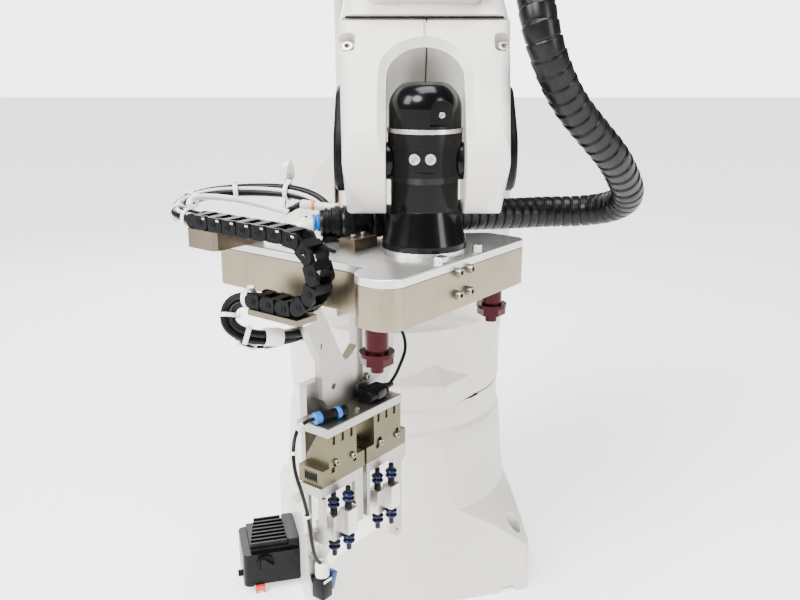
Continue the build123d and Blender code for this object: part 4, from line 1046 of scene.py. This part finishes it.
chainLength = (chain["start"] - chain["bendAcross"] + math.pi * chain["radius"] + chain["end"]
               - chain["bendAcross"])
marks, ticks = [], Workpiece("chainTicks", tieWhite)
for number in range(chain["links"]):
    across, up, (da, du) = chainPoint((number + chain["markAt"]) * (chainLength / chain["links"]))
    marks.append((onTool(chain["face"] + chain["lift"], across, up), -alongTool, chain["markRadius"],
                  chain["markHeight"]))
    for step in chain["tickSteps"] if number < chain["ticked"] else ():
        tick = onTool(chain["face"] - chain["lift"], across + da * step - du * chain["tickRise"],
                      up + du * step - da * chain["tickRise"])
        ticks.block(chain["tick"], placeAt(tick, upward, acrossTool), 0, chain["tickEdge"])
markPiece = Workpiece("markRing", chainBlack)
markPiece.turned(chain["markRing"], Matrix.Identity(4), 0, 22)
markPiece.turned(disc(chain["markCore"], 0, 1.0), Matrix.Identity(4), 0, 14)
markShape = link("markRing", markPiece.mesh())
settle(link("chainMarks", scatter("chainMarks", markShape, marks, chainBlack)), "tool")
ticks.done("tool", "machined")
for shape in (tieShape, plainShape, markShape):
    bpy.data.objects.remove(shape)
print("chain: marks and ticks on", chain["links"], "links")

# forearm: dark strips as painted shade in the split line above the arch, down its inside and across the fork's top

splitShade = Workpiece("forkJoint", seamDark)
splitShadeStrips = (
    # size, place on the forearm
    ((0.0011, 0.0020, 0.0250), (0.002, 0.0500, 0.1205)),
    ((0.0011, 0.0900, 0.0016), (0.002, 0.0, 0.1004)),
    ((0.1560, 0.0016, 0.0016), (0, 0.0500, 0.1330)),
)
for size, spot in splitShadeStrips:
    splitShade.block(size, placeAt(onForearm(*spot), foreBack, (1, 0, 0)), 0, 0.0002)
splitShade.done("forearm", "black_plastic")

# turret seam: the gap opens a little at the front right, with worn edges; a dark piece in it is painted shade

gape = {
    "from": -69, "to": -41, "steps": 30,         # degrees round the turret
    "low": 0.3056, "radius": 0.1566, "depth": 0.0030, "lowRadius": 0.1554, "highRadius": 0.1569,
    "thin": 0.0016, "wide": 0.0032, "fullness": 0.6,
    "unevenLift": (0.62, 0.38, 11.3, 1.1), "unevenDrop": (0.0003, 0.0008, 17),
}
seam = Workpiece("seamGap", seamDark)
rows = []
for i in range(gape["steps"] + 1):
    share = i / gape["steps"]
    angle = math.radians(gape["from"] + (gape["to"] - gape["from"]) * share)
    even, uneven, pace, shift = gape["unevenLift"]
    lift = gape["thin"] + gape["wide"] * math.sin(math.pi * share) ** gape["fullness"] * (
        even + uneven * math.sin(pace * share + shift))
    least, most, pace = gape["unevenDrop"]
    drop = least + most * (0.5 + 0.5 * math.sin(pace * share))
    section = ((gape["radius"] - gape["depth"], gape["low"] - drop), (gape["lowRadius"], gape["low"] - drop),
               (gape["highRadius"], gape["low"] + lift), (gape["radius"] - gape["depth"], gape["low"] + lift))
    rows.append([seam.bm.verts.new((r * math.cos(angle), r * math.sin(angle), z)) for r, z in section])
for one, other in zip(rows, rows[1:]):
    for i in range(4):
        seam.bm.faces.new((one[i], one[(i + 1) % 4], other[(i + 1) % 4], other[i]))
seam.bm.faces.new(rows[0][::-1])
seam.bm.faces.new(rows[-1])
seam.done("base", "black_plastic")

# small fittings on the left of the base

fitting = {
    # place, size
    "blocks": ((Vector((-0.1435, -0.1010, 0.1420)), (0.016, 0.013, 0.010)),
               (Vector((-0.1395, -0.1045, 0.1660)), (0.012, 0.011, 0.008))),
    "sunk": 0.003, "edge": 0.0010, "studRadius": 0.0030, "studHeight": 0.0040,
}
fittings = Workpiece("baseFittings", fittingTan, steel)
for place, size in fitting["blocks"]:
    outward = Vector((place.x, place.y, 0)).normalized()
    inner = place - outward * fitting["sunk"]
    fittings.block(size, placeAt(inner, upward, outward), 0, fitting["edge"])
    fittings.turned(disc(fitting["studRadius"], 0, fitting["studHeight"]),
                    placeAt(inner + upward * size[2] / 2, upward), 1, 14)
fittings.done("base", "cast_paint")
print("base and forearm trim")

# floor and light

studio = {
    "floorHalf": 14.0, "floorDrop": 0.0005, "floorDark": (0.90, 0.90, 0.90), "floorPale": (0.93, 0.93, 0.93),
    "floorGlow": 1.15,       # keeps the floor pale out to the horizon
    "ambient": 0.26,         # light of the room on the object
    "backdrop": 4.5,         # brightness of the plain backdrop
    "sunFrom": (-0.62, -0.95, 1.05), "sunStrength": 5.6, "sunSoftness": 24,      # softness in degrees
    "lamps": (
        # name, place, aim, width, height, watts
        ("keyLeft", (-1.7, -1.2, 1.9), (0, -0.2, 0.6), 0.8, 1.1, 62),
        ("fillRight", (1.5, -1.5, 1.3), (0, -0.2, 0.6), 0.5, 1.5, 34),
        ("topSoft", (0.1, -0.5, 2.5), (0, -0.2, 0.4), 1.2, 1.0, 60),
        ("backRim", (-0.9, 1.9, 1.6), (0, 0, 0.6), 1.0, 1.0, 40),
    ),
}
half, drop = studio["floorHalf"], studio["floorDrop"]
floorMesh = bpy.data.meshes.new("floor")
floorMesh.from_pydata([(x * half, y * half, -drop) for x, y in ((-1, -1), (1, -1), (1, 1), (-1, 1))], [],
                      [(0, 1, 2, 3)])
floor = link("floor", floorMesh)
floorFinish = Finish("floorPale")
floorTint = floorFinish.blend(floorFinish.noise(3, 2), studio["floorDark"], studio["floorPale"])
floorFinish.set(Base_Color=floorTint, Roughness=0.8, Emission_Color=(1, 1, 1, 1),
                Emission_Strength=studio["floorGlow"])
floorMesh.materials.append(floorFinish.material)

world = bpy.data.worlds.new("studioWorld")
bpy.context.scene.world = world
world.use_nodes = True
sky = NodeBench()
sky.tree = world.node_tree
backdrop = world.node_tree.nodes["Background"]
seen = sky.wire(sky.add("ShaderNodeLightPath"), "Is Camera Ray")
sky.plug(backdrop.inputs["Color"], (1, 1, 1, 1))
sky.plug(backdrop.inputs["Strength"], studio["ambient"] + seen * (studio["backdrop"] - studio["ambient"]))
sunData = bpy.data.lights.new("softSun", "SUN")
sunData.energy, sunData.angle = studio["sunStrength"], math.radians(studio["sunSoftness"])
sun = bpy.data.objects.new("softSun", sunData)
sun.rotation_euler = Vector(studio["sunFrom"]).to_track_quat("Z", "Y").to_euler()
bpy.context.scene.collection.objects.link(sun)
for name, place, aim, width, height, watts in studio["lamps"]:
    data = bpy.data.lights.new(name, "AREA")
    data.shape = "RECTANGLE"
    data.size, data.size_y, data.energy = width, height, watts
    lamp = bpy.data.objects.new(name, data)
    lamp.location = place
    lamp.rotation_euler = (Vector(aim) - Vector(place)).to_track_quat("-Z", "Y").to_euler()
    bpy.context.scene.collection.objects.link(lamp)
print("studio: floor, world, sun,", len(studio["lamps"]), "lamps")
